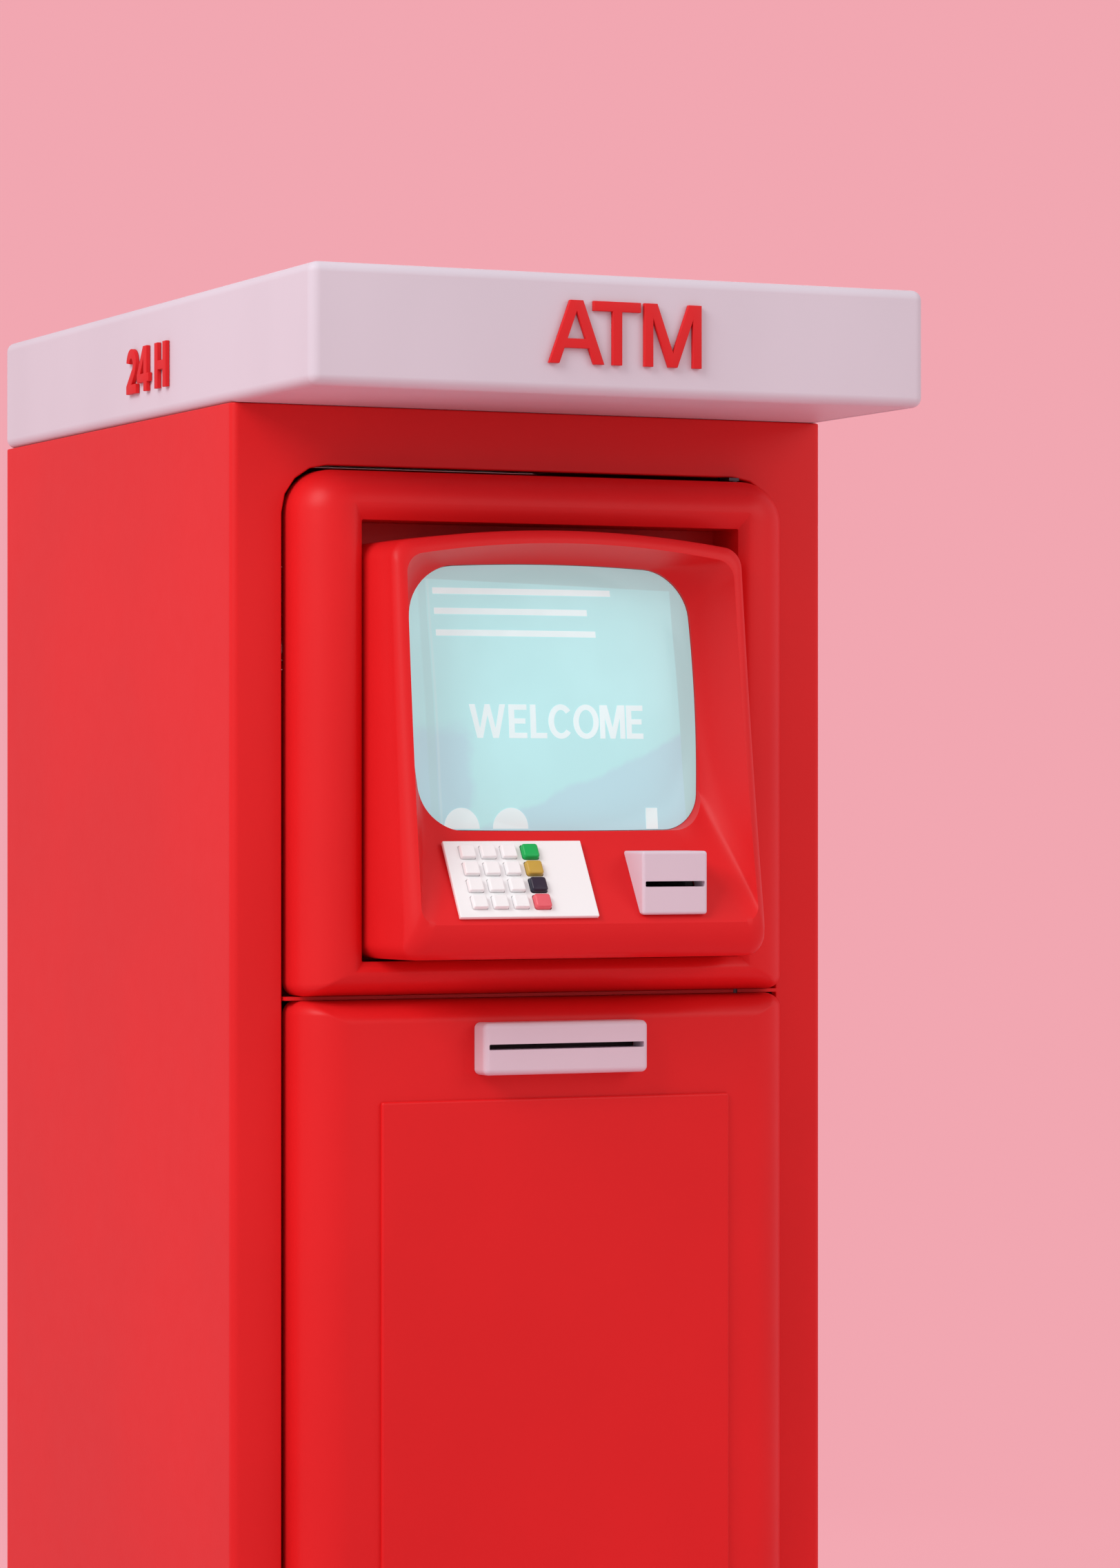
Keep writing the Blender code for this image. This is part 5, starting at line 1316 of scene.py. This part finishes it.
def rear_details():
    """A wire guard over the fan, and a dust filter behind the vent slots, round its frame."""
    lo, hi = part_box("fan_frame")
    low = Vector((-0.132, REAR_LOW.y - 0.0068, 1.188))
    high = Vector((0.132, REAR_LOW.y - 0.0004, 1.374))
    margin = Vector((0.0006, 0.05, 0.0006))
    pad = drilled(rounded(low, high, 0.0012, 3), [block(lo - margin, hi + margin)])
    piece("vent_filter", pad, FOAM, "cabinet", slot_of("fan_frame"), (), 34.0)
    centre = (lo + hi) / 2
    guard = guard_pattern(6, 0.012, 0.0082, 0.0007, 4)
    place = Matrix.Translation((centre.x, lo.y - 0.0012, centre.z)) @ Matrix.Rotation(pi / 2, 4, "X")
    guard.run("fan_guard", [(0, 0, 0)], BRIGHT, "cabinet", slot_of("door_lock"), place)


def cassette_details():
    """Grip ribs on the cassettes' noses."""
    ribs = bar_pattern("grip_ribs", 7, (0.0, 0.0, 0.0036), (0.150, 0.0016, 0.0014), (0.0, 0.0, 0.0))
    for number in (1, 2, 3):
        lo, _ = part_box(f"cash_cassette_{number}")
        place = Matrix.Translation((0, lo.y - 0.0006, lo.z + 0.014))
        slot = slot_of("cash_cassette_1")
        ribs.run(f"cassette_ribs_{number}", [(0, 0, 0)], BLACK, "cabinet", slot, place)


# ---- stage, light and camera
WALL_COLOUR = (0.885, 0.385, 0.440)


def stage():
    """A plain pale floor that fades into the background."""
    bm = bmesh.new()
    around = 72
    inner = [bm.verts.new((0, 0, 0))] * around
    for radius in (0.6, 1.2, 1.8, 2.4, 3.0):
        turns = [2 * pi * i / around for i in range(around)]
        outer = [bm.verts.new((radius * cos(a), radius * sin(a), 0)) for a in turns]
        for i in range(around):
            j = (i + 1) % around
            corners = (inner[i], outer[i], outer[j], inner[j])
            bm.faces.new(corners if inner[i] is not inner[j] else corners[:3])
        inner = outer
    mesh = mesh_of("floor", bm)
    floor = linked("floor", mesh)
    f = Finish("pale_floor", WALL_COLOUR, 0.85)
    x, y, _ = f.axes()
    reach = (x * x + y * y).root()
    glow = f.node("ShaderNodeEmission", {}, (*WALL_COLOUR, 1.0), 1.0)
    mixer = f.tree.nodes.new("ShaderNodeMixShader")
    f.feed(mixer.inputs[0], reach.step(1.0, 2.6))
    f.tree.links.new(f.shader.outputs[0], mixer.inputs[1])
    f.tree.links.new(glow.socket, mixer.inputs[2])
    f.tree.links.new(mixer.outputs[0], f.tree.nodes["Material Output"].inputs[0])
    mesh.materials.append(f.material)


def lights():
    world = bpy.data.worlds.new("studio")
    bpy.context.scene.world = world
    world.use_nodes = True
    nodes, links = world.node_tree.nodes, world.node_tree.links
    soft = nodes["Background"]
    soft.inputs["Color"].default_value = (1.0, 0.985, 0.985, 1.0)
    soft.inputs["Strength"].default_value = 0.60
    seen = nodes.new("ShaderNodeBackground")
    seen.inputs["Color"].default_value = (*WALL_COLOUR, 1.0)
    seen.inputs["Strength"].default_value = 1.0
    path = nodes.new("ShaderNodeLightPath")
    mixer = nodes.new("ShaderNodeMixShader")
    seen_directly = nodes.new("ShaderNodeMath")
    seen_or_mirrored = nodes.new("ShaderNodeMath")
    kinds = ("Camera", "Glossy", "Transmission")
    camera_ray, glossy, passed = [path.outputs[f"Is {kind} Ray"] for kind in kinds]
    for total, first, second in ((seen_directly, camera_ray, glossy),
                                 (seen_or_mirrored, seen_directly.outputs[0], passed)):
        total.operation, total.use_clamp = "ADD", True
        links.new(first, total.inputs[0])
        links.new(second, total.inputs[1])
    links.new(seen_or_mirrored.outputs[0], mixer.inputs[0])
    links.new(soft.outputs[0], mixer.inputs[1])
    links.new(seen.outputs[0], mixer.inputs[2])
    links.new(mixer.outputs[0], nodes["World Output"].inputs[0])
    lamp("key", (-3.6, -1.8, 3.9), (0.0, -0.2, 1.0), 2.4, 125.0)
    lamp("front_fill", (3.0, -3.6, 3.2), (0.0, -0.2, 1.0), 2.6, 38.0)
    lamp("back_fill", (2.2, 3.8, 2.4), (0.0, 0.2, 1.0), 2.4, 60.0)


def lamp(name, where, target, size, energy):
    data = bpy.data.lights.new(name, "AREA")
    data.shape, data.size, data.energy = "SQUARE", size, energy
    obj = linked(name, data)
    obj.location = where
    obj.rotation_euler = (Vector(target) - Vector(where)).to_track_quat("-Z", "Y").to_euler()


def camera():
    data = bpy.data.cameras.new("view")
    data.lens, data.sensor_width, data.shift_y = 110.74, 36.0, 0.0097
    obj = linked("view", data)
    obj.location = (-1.9652, -4.5926, 1.08)
    obj.rotation_euler = (radians(90), 0, radians(-24.6))
    bpy.context.scene.camera = obj
    bpy.context.scene.view_settings.view_transform = "Standard"


for make in (camera, lights, stage, surround, hood, screen_glass, door, trim, cash_bezel, card_bezel,
             keypad, signs, graphics, canopy, cabinet, round_parts, fasteners, rear_details,
             cassette_details):
    make()
